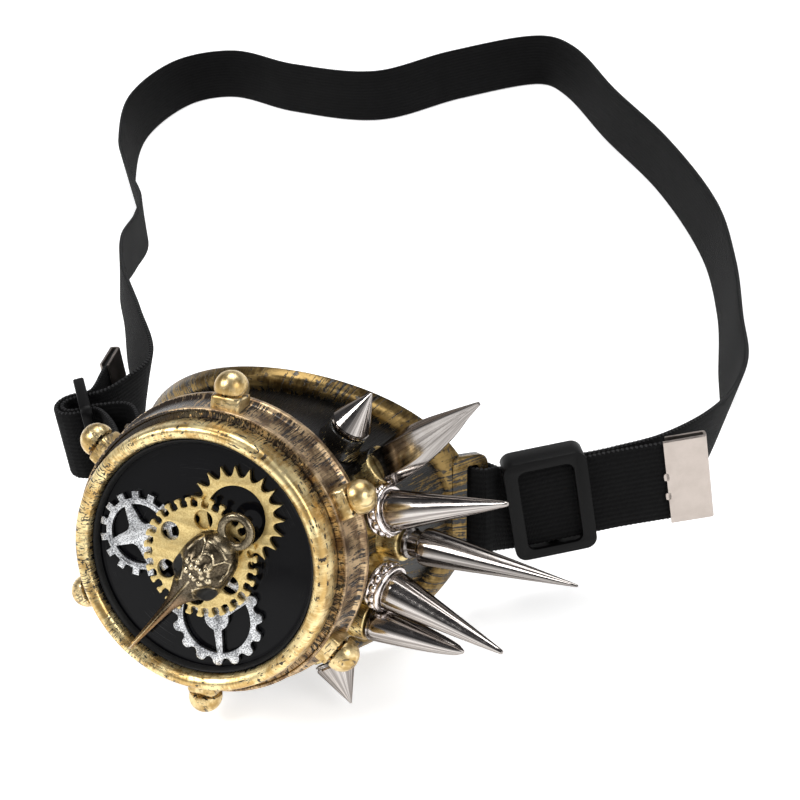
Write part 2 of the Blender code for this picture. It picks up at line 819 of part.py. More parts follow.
def make_skull():
    rings = []
    for reach, width, height, ridge, lift in skull_section_shares:
        ring = []
        base = beak_tip_lift * lift
        for index in range(skull_section_points):
            turn = math.pi * index / (skull_section_points - 1)
            across = math.copysign(abs(math.cos(turn)) ** (2 / ridge), math.cos(turn))
            up = math.sin(turn) ** (2 / ridge)
            ring.append((skull_length * reach, skull_half_width * width * across,
                         base + skull_height * height * (0.25 + 0.75 * up)))
        foot = skull_half_width * width * 0.8
        ring.append((skull_length * reach, -foot, base))
        ring.append((skull_length * reach, foot, base))
        rings.append(ring)
    skull = loft("bird_skull_charm", rings)
    skull.matrix_local = skull_frame()

    bail = turned("bail", [(bail_radius + bail_wire * math.cos(step * math.pi / 4),
                            -bail_wire * math.sin(step * math.pi / 4)) for step in range(8)], 20)
    bail.matrix_local = skull_frame() @ Matrix.Translation((bail_reach, 0.0, bail_wire * 1.5))
    boolean(skull, as_cutter(bail, goggle), "UNION")

    for side in (-1, 1):
        centre = (hollow_reach, side * hollow_spacing / 2, skull_height * 0.62)

        def hollow(shape, middle=centre):
            frame = Matrix.Translation(middle) @ Matrix.Diagonal((1.25, 0.9, 1.0, 1.0))
            bmesh.ops.create_uvsphere(shape, u_segments=10, v_segments=6, radius=hollow_radius,
                                      matrix=frame)

        eye = mesh_object("eye_hollow", hollow)
        eye.matrix_local = skull_frame()
        boolean(skull, as_cutter(eye, goggle), "DIFFERENCE")
    place(skull, goggle, skull_bronze, 50.0)


# Strap
half_strap = strap_width / 2
layer_offset = (strap_thickness + layer_gap) / 2
pack_thickness = strap_thickness * 2 + layer_gap


def slot_centre(side):
    """The middle of a lug's slot, in the table's frame."""
    return goggle_to_table() @ lug_frame(side) @ Vector((-lug_bar - slot_width / 2, 0.0, 0.0))


# Route of the head loop from behind the right slider to the left slider:
# share of the loop's width, share of its depth past the lugs, share of the lift, lean in degrees
loop_route_shares = (
    (0.310, 0.070, 0.93, -5.0),
    (0.339, 0.113, 0.80, -11.0),
    (0.348, 0.165, 0.50, -17.0),
    (0.350, 0.230, 0.31, -19.0),
    (0.335, 0.305, 0.13, -17.0),
    (0.312, 0.416, 0.0, -13.0),
    (0.271, 0.533, 0.0, -12.0),
    (0.185, 0.678, 0.0, -9.0),
    (0.080, 0.815, 0.0, -11.0),
    (-0.020, 0.955, 0.0, -14.0),
    (-0.085, 0.992, 0.0, -14.0),
    (-0.200, 0.938, 0.0, -13.0),
    (-0.301, 0.866, 0.0, -10.0),
    (-0.452, 0.889, 0.0, -10.0),
    (-0.585, 0.938, 0.0, -13.0),
    (-0.660, 0.905, 0.0, -10.0),
    (-0.670, 0.790, 0.0, -7.0),
    (-0.605, 0.655, 0.0, -5.0),
    (-0.535, 0.565, 0.05, -2.0),
    (-0.465, 0.480, 0.25, 4.0),
    (-0.422, 0.400, 0.62, 12.0),
    (-0.383, 0.320, 1.02, 12.0),
    (-0.325, 0.240, 1.25, 9.0),
    (-0.268, 0.170, 1.28, 18.0),
    (-0.222, 0.115, 1.10, 18.0),
    (-0.228, 0.082, 1.00, 10.0),
)


def floor_height(lean):
    """Height of the strap's middle when its lower edge lies on the table."""
    tilt = abs(math.radians(lean))
    return half_strap * math.cos(tilt) + strap_thickness / 2 * math.sin(tilt) + strap_rest


def loop_stations():
    """The loop's stations, from the end of the right slider's stretch to the left slider.

    The shift keeps both ends where the sliders are when the loop's width or depth changes.
    """
    base = slot_centre(1)
    plain = [Vector((loop_width * width_share, base.y + loop_depth * depth_share, 0.0))
             for width_share, depth_share, _, _ in loop_route_shares]
    right_end = right_frame(right_straight, 1).translation + Vector((loop_start_run, loop_start_rise, 0.0))
    left_end = left_slider_frame().translation + Vector((loop_end_run, loop_end_rise, 0.0))
    stations = []
    for index, (_, _, lift_share, lean) in enumerate(loop_route_shares):
        shift = (right_end - plain[0]).lerp(left_end - plain[-1], index / (len(plain) - 1))
        low = floor_height(lean)
        level = low + (base.z - low) * lift_share
        stations.append((Vector((plain[index].x + shift.x, plain[index].y + shift.y, level)), lean))
    return stations


# Right side: the strap runs straight from the lug through the slider
right_heading = math.radians(24.6)
right_climb = math.radians(3.0)
right_lean = math.radians(5.0)
right_sag = 0.0022
right_entry = 0.0098
right_slider_reach = 0.0182
right_straight = 0.0340
right_tail = 0.0540
right_tail_spread = 0.0014


def right_frame(reach, side=0, spread=0.0):
    """A frame on the right-hand stretch: X along it, Y across it upwards, Z out of its front face.

    The side picks the layer: 1 is the rear layer, -1 the front layer and 0 the middle of both.
    """
    flat = Vector((math.cos(right_heading), math.sin(right_heading), 0.0))
    rear = Vector((-flat.y, flat.x, 0.0))
    along = flat * math.cos(right_climb) + Vector((0.0, 0.0, math.sin(right_climb)))
    lifted = Vector((0.0, 0.0, math.cos(right_climb))) - flat * math.sin(right_climb)
    upward = lifted * math.cos(right_lean) + rear * math.sin(right_lean)
    out = along.cross(upward)
    start = slot_centre(1) - Vector((0.0, 0.0, right_sag))
    middle = start + along * reach - out * (side * layer_offset) + out * spread
    return Matrix.Translation(middle) @ Matrix((along, upward, out)).transposed().to_4x4()


def frame_station(frame):
    """A station at a frame's origin whose width runs along the frame's Y axis."""
    return (frame.translation.copy(), frame.to_3x3() @ Vector((0.0, 1.0, 0.0)))


# Left side: the strap turns round the middle bar of a slider that stands across it
left_slider_out = 0.02259
left_slider_back = 0.01870
left_slider_drop = 0.0020
left_facing = math.radians(35.0)
left_bend_reach = 0.0024
left_bow = 0.0046
left_bow_spread = 0.0028
left_tail_turn = math.radians(64.0)
left_tail = 0.0200
window_width = (slider_length - slider_bar * 3) / 2
window_reach = (slider_bar + window_width) / 2


def left_slider_frame():
    """The left slider's frame: X along its length away from the viewer, Y to the bend, Z up."""
    centre = slot_centre(-1) + Vector((-left_slider_out, left_slider_back, -left_slider_drop))
    return Matrix.Translation(centre) @ Matrix.Rotation(left_facing + math.pi / 2, 4, "Z")


def left_bend(layer):
    """Stations round the middle bar from the loop's side to the lug's side: layer 1 is outside."""
    frame = left_slider_frame()
    radius = window_reach + layer * layer_offset
    spots = [(radius, -left_bend_reach)]
    for step in range(9):
        turn = math.pi * step / 8
        spots.append((radius * math.cos(turn), left_bend_reach + radius * math.sin(turn)))
    spots.append((-radius, -left_bend_reach))
    return [(frame @ Vector((along, bend, 0.0)), 0.0) for along, bend in spots]


def lug_station(side, along, front):
    """A station beside a lug, along its outward direction and in front of its middle."""
    frame = goggle_to_table() @ lug_frame(side)
    return (frame @ Vector((along, 0.0, front)), frame.to_3x3() @ Vector((0.0, side, 0.0)))


lug_clear = (lug_thickness + strap_thickness) / 2 + seat_gap * 2


def fold_stations(side):
    """The fold from inside the slot round the front of the lug's bar."""
    slot = -lug_bar - slot_width / 2
    return [lug_station(side, slot, -lug_thickness / 4), lug_station(side, slot, lug_thickness / 4),
            lug_station(side, slot / 2, lug_clear * 1.30), lug_station(side, lug_bar / 4, lug_clear)]


def back_stations(side):
    """The strap behind the lug's bar."""
    return [lug_station(side, -lug_bar - slot_width, -lug_clear), lug_station(side, 0.0, -lug_clear)]


def left_bow_station(layer):
    """The middle of the short bow between the left slider and the left lug."""
    exit_place = left_bend(layer)[-1][0]
    lug_place = lug_station(-1, 0.0, layer * lug_clear)[0]
    bow = left_bow - layer * left_bow_spread
    return ((exit_place + lug_place) / 2 + Vector((0.0, bow, 0.0)), 4.0)


def width_vector(station, before, after):
    """The direction across the strap at a station, from its lean or given as it is."""
    place_, lean = station
    if isinstance(lean, Vector):
        return lean
    heading = Vector((after.x - before.x, after.y - before.y, 0.0)).normalized()
    left = Vector((-heading.y, heading.x, 0.0))
    tilt = math.radians(lean)
    return Vector((0.0, 0.0, math.cos(tilt))) + left * math.sin(tilt)


def smooth_route(stations):
    """Middles and width directions every step along a smooth curve through the stations."""
    places = [station[0] for station in stations]
    last = len(places) - 1
    widths = [width_vector(station, places[max(index - 1, 0)], places[min(index + 1, last)])
              for index, station in enumerate(stations)]
    knots = [0.0]
    for first, second in zip(places, places[1:]):
        knots.append(knots[-1] + math.sqrt((second - first).length))

    def blend(values, index, time):
        low = max(index - 1, 0)
        high = min(index + 2, last)
        span = knots[index + 1] - knots[index]
        start = (values[index + 1] - values[low]) * (span / (knots[index + 1] - knots[low]))
        finish = (values[high] - values[index]) * (span / (knots[high] - knots[index]))
        step = values[index + 1] - values[index]
        cubic = start + finish - step * 2
        square = step * 3 - start * 2 - finish
        return cubic * time ** 3 + square * time ** 2 + start * time + values[index]

    route = []
    for index in range(last):
        pieces = max(1, round((places[index + 1] - places[index]).length / strap_step))
        for piece in range(pieces):
            time = piece / pieces
            route.append((blend(places, index, time), blend(widths, index, time)))
    route.append((places[-1], widths[-1]))
    return route


def band(name, stations):
    """A flat band of webbing along a smooth route."""
    route = smooth_route(stations)
    rings = []
    for index, (middle, width) in enumerate(route):
        before = route[max(index - 1, 0)][0]
        after = route[min(index + 1, len(route) - 1)][0]
        face = width.cross(after - before).normalized()
        upward = (after - before).cross(face).normalized()
        rings.append([middle + upward * half_strap * high + face * strap_thickness / 2 * side
                      for high, side in ((1, 1), (1, -1), (-1, -1), (-1, 1))])
    place(loft(name, rings), stand, webbing, 40.0)


def right_stretch(side):
    return [frame_station(right_frame(reach, side)) for reach in
            (right_entry, right_slider_reach, (right_slider_reach + right_straight) / 2, right_straight)]


def left_tail_place(reach):
    """A point of the left tail, past the slider's far window."""
    heading = left_facing + left_tail_turn
    start = left_bend(1)[0][0]
    return start + Vector((math.cos(heading), math.sin(heading), 0.0)) * reach


def make_strap():
    band("strap_loop", back_stations(1) + right_stretch(1) + loop_stations() + left_bend(-1)
         + [left_bow_station(-1)] + back_stations(-1)[::-1])
    tail_end = frame_station(right_frame(right_tail, -1, right_tail_spread))
    band("strap_end_right", fold_stations(1) + right_stretch(-1) + [tail_end])
    band("strap_end_left", [(left_tail_place(left_tail), 0.0), (left_tail_place(left_tail / 2), 0.0)]
         + left_bend(1) + [left_bow_station(1)] + fold_stations(-1)[::-1])


# Sliders
tunnel_height = strap_width + 2 * clip_margin
tunnel_depth = pack_thickness + 2 * seat_gap
slider_depth = tunnel_depth + 2 * slider_plate
rail = (slider_height - tunnel_height) / 2


def soften(item, width, segments):
    bevel = item.modifiers.new("edges", "BEVEL")
    bevel.width = width
    bevel.segments = segments
    bevel.limit_method = "ANGLE"


def make_right_slider():
    """Side bars in front of both layers, top and bottom rails, and a middle bar behind them."""
    outline = rounded_rectangle(slider_length, slider_height, slider_corner)
    slider = curve_to_mesh(flat_outline("slider_right", [outline], slider_depth))
    frame = right_frame(right_slider_reach)
    slider.matrix_local = frame
    soften(slider, slider_plate / 3, 2)
    through = slider_length + 2 * overrun
    opening = slider_length - 2 * slider_bar
    past = slider_plate + overrun
    side = (through - slider_bar) / 2
    cuts = [
        ((through, tunnel_height, tunnel_depth), (0.0, 0.0, 0.0)),
        ((opening, tunnel_height, past), (0.0, 0.0, (tunnel_depth + past) / 2 - overrun / 4)),
        ((side, tunnel_height, past), ((slider_bar + side) / 2, 0.0, -(tunnel_depth + past) / 2
                                       + overrun / 4)),
        ((side, tunnel_height, past), (-(slider_bar + side) / 2, 0.0, -(tunnel_depth + past) / 2
                                       + overrun / 4)),
    ]
    for size, centre in cuts:
        cutter = as_cutter(box("slider_cut", size, centre), stand)
        cutter.matrix_local = frame
        boolean(slider, cutter, "DIFFERENCE")
    place(slider, stand, black_plastic)


def make_left_slider():
    """The same slider seen edge-on, a flat plate with two windows that the strap passes through."""
    outline = rounded_rectangle(slider_length, slider_height, slider_corner)
    window = rounded_rectangle(window_width, tunnel_height, slider_plate / 2, 2)
    windows = [[(across + side * window_reach, up) for across, up in window] for side in (-1, 1)]
    slider = curve_to_mesh(flat_outline("slider_left", [outline] + windows, turned_slider_plate))
    slider.matrix_local = left_slider_frame() @ Matrix.Rotation(math.pi / 2, 4, "X")
    soften(slider, slider_plate / 3, 1)
    place(slider, stand, black_plastic)


# End clips: a sheet folded round each tail, open at its upper and lower edge
def make_clip(name, frame):
    """The frame lies at the tail's end, with X out of the tail and Y across it."""
    outer = strap_thickness / 2 + seat_gap + clip_sheet
    inner = outer - clip_sheet
    nose = seat_gap + clip_sheet
    section = [(nose - clip_length, outer), (nose - clip_length, inner), (seat_gap, inner),
               (seat_gap, -inner), (nose - clip_length, -inner), (nose - clip_length, -outer),
               (nose - clip_sheet / 3, -outer), (nose, -outer + clip_sheet / 3),
               (nose, outer - clip_sheet / 3), (nose - clip_sheet / 3, outer)]
    clip = flat_outline(name, [section], strap_width + 2 * clip_margin)
    clip.matrix_local = frame @ Matrix.Rotation(-math.pi / 2, 4, "X")
    place(clip, stand, nickel)


def tail_frame(end, before, width):
    """A frame at a tail's end from the place before it and the direction across the tail."""
    along = (end - before).normalized()
    out = along.cross(width).normalized()
    upward = out.cross(along)
    return Matrix.Translation(end) @ Matrix((along, upward, out)).transposed().to_4x4()


def make_clips():
    end, width = frame_station(right_frame(right_tail, -1, right_tail_spread))
    before = right_frame(right_straight, -1).translation
    make_clip("clip_right", tail_frame(end, before, width))
    upright = Vector((0.0, 0.0, 1.0))
    make_clip("clip_left", tail_frame(left_tail_place(left_tail), left_tail_place(0.0), upright))


make_bezel()
make_lens()
make_cap_ring()
make_knobs()
make_cup()
make_spikes()
make_gears()
make_skull()
make_strap()
make_right_slider()
make_left_slider()
make_clips()
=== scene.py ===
# %% [markdown]
# # A one-eye goggle with a head strap
#
# This lesson dresses the solids of a costume goggle: an eye cup with a screw cap, a dark lens with
# gears and a bird skull charm glued on it, a fan of metal spikes, and a webbing strap with two sliders.
# Each step says what the piece is on the real object, and how Blender makes it.
#
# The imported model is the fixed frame. A new piece lies where its solid is, and rides on that body.

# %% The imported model
import math
from functools import partial, reduce

import bmesh
import bpy
from mathutils import Matrix, Vector, noise


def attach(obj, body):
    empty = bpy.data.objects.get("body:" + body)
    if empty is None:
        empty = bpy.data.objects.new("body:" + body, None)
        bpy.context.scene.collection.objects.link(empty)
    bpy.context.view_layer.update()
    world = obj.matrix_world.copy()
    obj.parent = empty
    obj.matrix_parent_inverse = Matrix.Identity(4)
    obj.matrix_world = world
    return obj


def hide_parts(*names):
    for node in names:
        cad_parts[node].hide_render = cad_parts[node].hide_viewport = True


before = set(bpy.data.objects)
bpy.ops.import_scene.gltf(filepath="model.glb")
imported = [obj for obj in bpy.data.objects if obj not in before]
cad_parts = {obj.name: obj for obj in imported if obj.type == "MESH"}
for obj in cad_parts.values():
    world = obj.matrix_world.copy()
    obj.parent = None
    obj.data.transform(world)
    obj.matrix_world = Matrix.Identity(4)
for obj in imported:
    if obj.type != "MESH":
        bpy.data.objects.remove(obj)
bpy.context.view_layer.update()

# %% [markdown]
# ## Short calls
#
# These serve all through the lesson: linking an object, making a frame from three directions, a place
# on a circle, and two rules for numbers.

# %% Calls for objects, frames and numbers
def link_new(name, data):
    """A new object in the scene's collection."""
    item = bpy.data.objects.new(name, data)
    bpy.context.scene.collection.objects.link(item)
    return item


def frame_at(place, *axes):
    """A matrix with three directions as its axes, at a place."""
    return Matrix.Translation(place) @ Matrix(axes).transposed().to_4x4()


def polar(reach, turn):
    """A place on a circle, as x and y."""
    return reach * math.cos(turn), reach * math.sin(turn)


def held(value):
    """A number kept between 0 and 1."""
    return min(1.0, max(0.0, value))


def hill(value, middle, width):
    """One at the middle, falling smoothly to nothing on both sides."""
    return math.exp(-((value - middle) / width) ** 2)


print("short calls ready")

# %% [markdown]
# ## Two frames
#
# The goggle is described in its own frame: X to the right, Y up the face, Z out of the lens, with the
# origin at the middle of the bezel's inner edge. One matrix tilts it back and stands it on the table.
# The strap is described upright, from the point on the table below the lens. Sizes are in metres.

# %% Stand and main sizes
goggle_tilt = math.radians(20.0)
stand_place = Vector((0.04125, -0.18408, 0.0))
seat_gap = 0.0003
bezel_outer = 0.0285
bezel_inner = 0.0250
flange_half_width = 0.0415
flange_half_height = 0.0341
flange_shift = 0.0016
flange_depth = 0.0298
flange_sweep = 0.0209
flange_skew = 0.0018
table_gap = 0.00006
goggle_lift = (flange_half_height * math.cos(goggle_tilt) + flange_depth * math.sin(goggle_tilt)
               + table_gap)
stand = Matrix.Translation(stand_place)
goggle = (stand @ Matrix.Translation((0.0, 0.0, goggle_lift))
          @ Matrix.Rotation(math.pi / 2 - goggle_tilt, 4, "X"))
print("lens middle at", [round(value, 4) for value in goggle.translation])

# %% [markdown]
# ## Camera
#
# A product picture is taken from well back with a longish lens, so the strap behind the goggle keeps
# its size. The camera looks down at 31.65 degrees from 21.79 degrees to the right, rolled a little.

# %% Camera
camera_data = bpy.data.cameras.new("camera")
camera_data.lens = 67.5
camera_data.sensor_width = 36.0
camera_data.clip_start = 0.01
camera = link_new("camera", camera_data)
azimuth, elevation, roll = [math.radians(angle) for angle in (21.79, 31.65, -7.42)]
backward = Vector((math.sin(azimuth) * math.cos(elevation), -math.cos(azimuth) * math.cos(elevation),
                   math.sin(elevation)))
sideways = Vector((*polar(1.0, azimuth), 0.0))
upright = backward.cross(sideways)
camera.matrix_world = frame_at((0.17343, -0.39448, 0.22435),
                               sideways * math.cos(roll) + upright * math.sin(roll),
                               upright * math.cos(roll) - sideways * math.sin(roll), backward)
bpy.context.scene.camera = camera
bpy.context.scene.view_settings.view_transform = "Standard"
print("camera to lens:", round((camera.matrix_world.translation - goggle.translation).length, 3), "m")

# %% [markdown]
# ## Short calls for materials
#
# Every finish here is a Principled shader fed by noise. A small class keeps the node work readable: it
# adds nodes, reads the Object coordinates in millimetres, and can turn them into the goggle's own
# frame. Brush strokes come from noise that is stretched along the stroke, so the class also gives
# coordinates that run round the lens axis.

# %% Calls for nodes
def fill(tree, socket, value):
    """Link an output to a socket, or set the socket's own value."""
    if isinstance(value, bpy.types.NodeSocket):
        tree.links.new(value, socket)
    else:
        socket.default_value = value


def add_node(tree, kind, output=0, settings=None, **sockets):
    """An output of a new node, whose sockets are named by number (i0) or by name."""
    made = tree.nodes.new(kind)
    for key, value in (settings or {}).items():
        setattr(made, key, value)
    for key, value in sockets.items():
        fill(tree, made.inputs[int(key[1:]) if key[1:].isdigit() else key.replace("_", " ")], value)
    return made.outputs[output]


def calculate(tree, operation, *values):
    """The output of one Math node."""
    return add_node(tree, "ShaderNodeMath", settings={"operation": operation},
                    **{f"i{number}": value for number, value in enumerate(values)})


def parts_of(tree, vector):
    """The three numbers of a vector."""
    return tuple(add_node(tree, "ShaderNodeSeparateXYZ", i0=vector).node.outputs)


def opaque(value):
    """A colour with its fourth number; anything else stays as it is."""
    return (*value, 1.0) if isinstance(value, tuple) else value


print("node calls ready")

# %% The class for finishes
class Finish:
    """A material under construction."""

    def __init__(self, name):
        self.material = bpy.data.materials.new(name)
        self.material.use_nodes = True
        self.tree = self.material.node_tree
        self.shader = self.tree.nodes["Principled BSDF"]
        self.add = partial(add_node, self.tree)
        self.math = partial(calculate, self.tree)

    def sum(self, *values):
        return reduce(partial(self.math, "ADD"), values)

    def product(self, *values):
        return reduce(partial(self.math, "MULTIPLY"), values)

    def millimetres(self, place=(0.0, 0.0, 0.0), turn=(0.0, 0.0, 0.0)):
        """Object coordinates in millimetres, in the table's frame if no other is given."""
        return self.add("ShaderNodeMapping", i0=self.add("ShaderNodeTexCoord", "Object"),
                        Location=place, Rotation=turn, Scale=(1000.0, 1000.0, 1000.0))

    def goggle_space(self):
        """Object coordinates in millimetres, turned into the goggle's frame."""
        back = goggle.inverted()
        return self.millimetres(back.translation * 1000.0, back.to_euler())

    def round_lens(self, around, depth, outward=0.0):
        """Coordinates round the lens axis: noise on them makes strokes along what is scaled least."""
        right, up, out = parts_of(self.tree, self.goggle_space())
        reach = self.math("SQRT", self.sum(self.math("POWER", right, 2.0), self.math("POWER", up, 2.0)))
        x, y = [self.product(self.math("DIVIDE", part, reach), around) for part in (right, up)]
        return self.add("ShaderNodeCombineXYZ", i0=x, i1=y,
                        i2=self.sum(self.product(out, depth), self.product(reach, outward)))

    def noise(self, vector, scale, detail=3.0, roughness=0.55, distortion=0.0):
        return self.add("ShaderNodeTexNoise", "Fac", Vector=vector, Scale=scale, Detail=detail,
                        Roughness=roughness, Distortion=distortion)

    def span(self, value, low, high, to_low=0.0, to_high=1.0):
        """A value eased from one span to another."""
        return self.add("ShaderNodeMapRange", settings={"interpolation_type": "SMOOTHSTEP"},
                        Value=value, From_Min=low, From_Max=high, To_Min=to_low, To_Max=to_high)

    def mix(self, share, first, second):
        """A colour between two colours."""
        return self.add("ShaderNodeMix", 2, settings={"data_type": "RGBA"}, i0=share, i6=opaque(first),
                        i7=opaque(second))

    def attribute(self, name, output="Fac"):
        return self.add("ShaderNodeAttribute", output, settings={"attribute_name": name})

    def bump(self, height, strength, distance):
        """A bump whose distance is in metres."""
        return self.add("ShaderNodeBump", Height=height, Strength=strength, Distance=distance)

    def set(self, **sockets):
        """Values or outputs for the shader's own sockets."""
        for key, value in sockets.items():
            fill(self.tree, self.shader.inputs[key.replace("_", " ")], opaque(value))


print("finish class ready")

# %% [markdown]
# ## Floor, surroundings and lamps
#
# The floor is a plain white sheet. A little emission, seen only by camera, mirror and glass rays, lifts
# it to white without adding light to the object, so the object's shadow stays. The surroundings are
# white near the horizon and grey overhead, because chrome only looks like chrome when it has
# something dark to mirror.

# %% Floor
paper_white = 0.82
paper_glow = 0.66
floor_reach = 6.0


def seen_directly(tree):
    """A value of 1 for camera, glossy and transmission rays, and of 0 for the rest."""
    total = add_node(tree, "ShaderNodeLightPath", "Is Camera Ray")
    rays = total.node.outputs
    for name in ("Is Glossy Ray", "Is Transmission Ray"):
        total = calculate(tree, "MAXIMUM", total, rays[name])
    return total


floor_mesh = bpy.data.meshes.new("floor")
floor_mesh.from_pydata([(floor_reach * x, floor_reach * y, 0.0)
                        for x, y in ((-1, -1), (1, -1), (1, 1), (-1, 1))], [], [(0, 1, 2, 3)])
floor = link_new("floor", floor_mesh)
paper = Finish("white_paper")
paper.set(Base_Color=(paper_white, paper_white, paper_white), Roughness=0.9, Specular_IOR_Level=0.1,
          Emission_Color=(1.0, 1.0, 1.0),
          Emission_Strength=paper.product(seen_directly(paper.tree), paper_glow))
floor_mesh.materials.append(paper.material)
print("floor ready")

# %% Surroundings and lamps
world = bpy.data.worlds.new("studio")
bpy.context.scene.world = world
world.use_nodes = True
sky = world.node_tree
sky.nodes.clear()
height = add_node(sky, "ShaderNodeSeparateXYZ", "Z",
                  i0=add_node(sky, "ShaderNodeTexCoord", "Generated"))
fade = add_node(sky, "ShaderNodeValToRGB", "Color", i0=height)
low, high = fade.node.color_ramp.elements
low.position = 0.08
low.color = (1.0, 1.0, 1.0, 1.0)
high.position = 0.42
high.color = (0.06, 0.06, 0.065, 1.0)
strength = add_node(sky, "ShaderNodeMapRange", Value=seen_directly(sky), To_Min=0.42, To_Max=1.0)
glow = add_node(sky, "ShaderNodeBackground", Color=fade, Strength=strength)
sky.links.new(glow, sky.nodes.new("ShaderNodeOutputWorld").inputs[0])


def softbox(name, place, target, size, watts):
    """A square area lamp that faces a target."""
    data = bpy.data.lights.new(name, "AREA")
    data.size = size
    data.energy = watts
    aim = (Vector(target) - Vector(place)).to_track_quat("-Z", "Y")
    link_new(name, data).matrix_world = Matrix.Translation(place) @ aim.to_matrix().to_4x4()


softbox("key_lamp", (-0.65, -0.75, 1.10), goggle.translation, 0.55, 11.0)
softbox("fill_lamp", (1.05, -0.55, 0.75), goggle.translation, 0.60, 5.5)
softbox("top_lamp", (0.10, 0.45, 1.35), (0.0, 0.0, 0.0), 0.80, 11.0)

# %% [markdown]
# ## Dry-brushed gold over black
#
# The cup, cap and bezel are black plastic, dry-brushed with gold: a nearly empty brush leaves gold on
# whatever stands out, with ragged strokes where it lifts. The share of gold is a number stored on the
# mesh, called gilding. Stretched noise is added to it, and where the sum passes one half there is gold.

# %% Gold over black
def nicks(made, amount):
    """How much gold is left between fine nicks: hatched at the left, dashed at the right, in patches."""
    left = made.span(parts_of(made.tree, made.goggle_space())[0], -6.0, -17.0)
    hatch = made.noise(made.round_lens(92.0, 0.75, 0.75), 1.0, 1.0, 0.5)
    dash = made.noise(made.round_lens(20.0, 1.9, 1.9), 1.0, 2.0, 0.55)
    patch = made.span(made.noise(made.goggle_space(), 0.13, 2.0, 0.5), 0.36, 0.54)
    bare = made.math("MAXIMUM", made.product(made.span(hatch, 0.565, 0.605), left),
                     made.span(dash, 0.60, 0.63))
    return made.math("SUBTRACT", 1.0, made.product(bare, patch, amount))


def brushed_gold(name, strokes, gold, shade, paint, ragged, nicked=0.0):
    """Gold over paint; the strokes are how fast they change round the lens axis, along it and outwards."""
    made = Finish(name)
    around, depth, outward = strokes
    wide = made.noise(made.round_lens(around, depth, outward), 1.0, 4.0, 0.65, 0.15)
    fine = made.noise(made.round_lens(around * 2.6, depth * 2.2, outward * 2.2), 1.0, 3.0, 0.6)
    speckle = made.noise(made.goggle_space(), 1.6, 4.0, 0.7)
    tone = made.noise(made.goggle_space(), 0.28, 3.0, 0.6)
    total = made.attribute("gilding")
    for value, weight in ((wide, 1.0), (fine, 0.7), (speckle, 0.45)):
        total = made.sum(total, made.product(made.math("SUBTRACT", value, 0.5), ragged * weight * 2.0))
    cover = made.span(total, 0.46, 0.54)
    if nicked:
        cover = made.product(cover, nicks(made, nicked))
    share = made.span(made.sum(made.product(tone, 0.7), made.product(fine, 0.3)), 0.40, 0.58)
    thick = made.sum(made.product(cover, 0.6), made.product(speckle, 0.5), made.product(fine, 0.5))
    made.set(Base_Color=made.mix(cover, paint, made.mix(share, shade, gold)),
             Metallic=made.span(cover, 0.0, 1.0, 0.0, 0.92),
             Roughness=made.sum(made.span(cover, 0.0, 1.0, 0.20, 0.27), made.product(fine, 0.14)),
             Normal=made.bump(thick, 0.55, 0.00009))
    return made.material


black_paint = (0.008, 0.007, 0.006)
bezel_gold = brushed_gold("bezel_gold", (26.0, 0.16, 0.16), (0.98, 0.80, 0.42), (0.60, 0.39, 0.14),
                          black_paint, 0.55, 0.95)
knob_gold = brushed_gold("knob_gold", (18.0, 0.5, 0.35), (0.90, 0.71, 0.38), (0.50, 0.33, 0.12),
                         black_paint, 0.45, 0.7)
cap_bronze = brushed_gold("cap_bronze", (44.0, 0.22, 0.4), (0.66, 0.48, 0.28), (0.19, 0.120, 0.068),
                          (0.026, 0.018, 0.013), 0.62)
cup_gold = brushed_gold("cup_gold", (34.0, 0.10, 0.12), (0.28, 0.187, 0.068), (0.094, 0.058, 0.019),
                        black_paint, 0.62, 0.9)
print("gold finishes ready")

# %% [markdown]
# ## Silver, brass, bronze and chrome
#
# The gears are stamped craft parts: pale brass with a fine cast grain, and antique silver with grey in
# its grain. The skull is dark bronze whose edges have been rubbed bright. The spikes are plated and
# mirror the room, with a faint length-wise polish.

# %% Metals
def grained_metal(name, light, dark, grain, contrast, roughness, depth):
    """A metal whose colour and height vary in a fine grain."""
    made = Finish(name)
    place = made.goggle_space()
    fine = made.noise(place, grain, 4.0, 0.7)
    broad = made.noise(place, grain * 0.16, 2.0, 0.5)
    share = made.span(made.sum(made.product(fine, 0.75), made.product(broad, 0.25)),
                      0.5 - contrast, 0.5 + contrast)
    made.set(Base_Color=made.mix(share, dark, light), Metallic=1.0,
             Roughness=made.span(fine, 0.3, 0.7, roughness + 0.10, roughness - 0.05),
             Normal=made.bump(fine, 0.5, depth))
    return made.material


pale_brass = grained_metal("pale_brass", (0.80, 0.64, 0.30), (0.60, 0.43, 0.17), 2.6, 0.14, 0.42, 0.00006)
grainy_silver = grained_metal("grainy_silver", (0.82, 0.83, 0.84), (0.17, 0.175, 0.185), 3.0, 0.08,
                              0.32, 0.00014)
collar_silver = grained_metal("collar_silver", (0.96, 0.90, 0.88), (0.74, 0.68, 0.66), 1.2, 0.30,
                              0.20, 0.00002)
nickel_sheet = grained_metal("nickel_sheet", (0.50, 0.44, 0.40), (0.455, 0.40, 0.36), 0.3, 0.30,
                             0.34, 0.00001)


def scaled(colour, factor):
    return tuple(value * factor for value in colour)


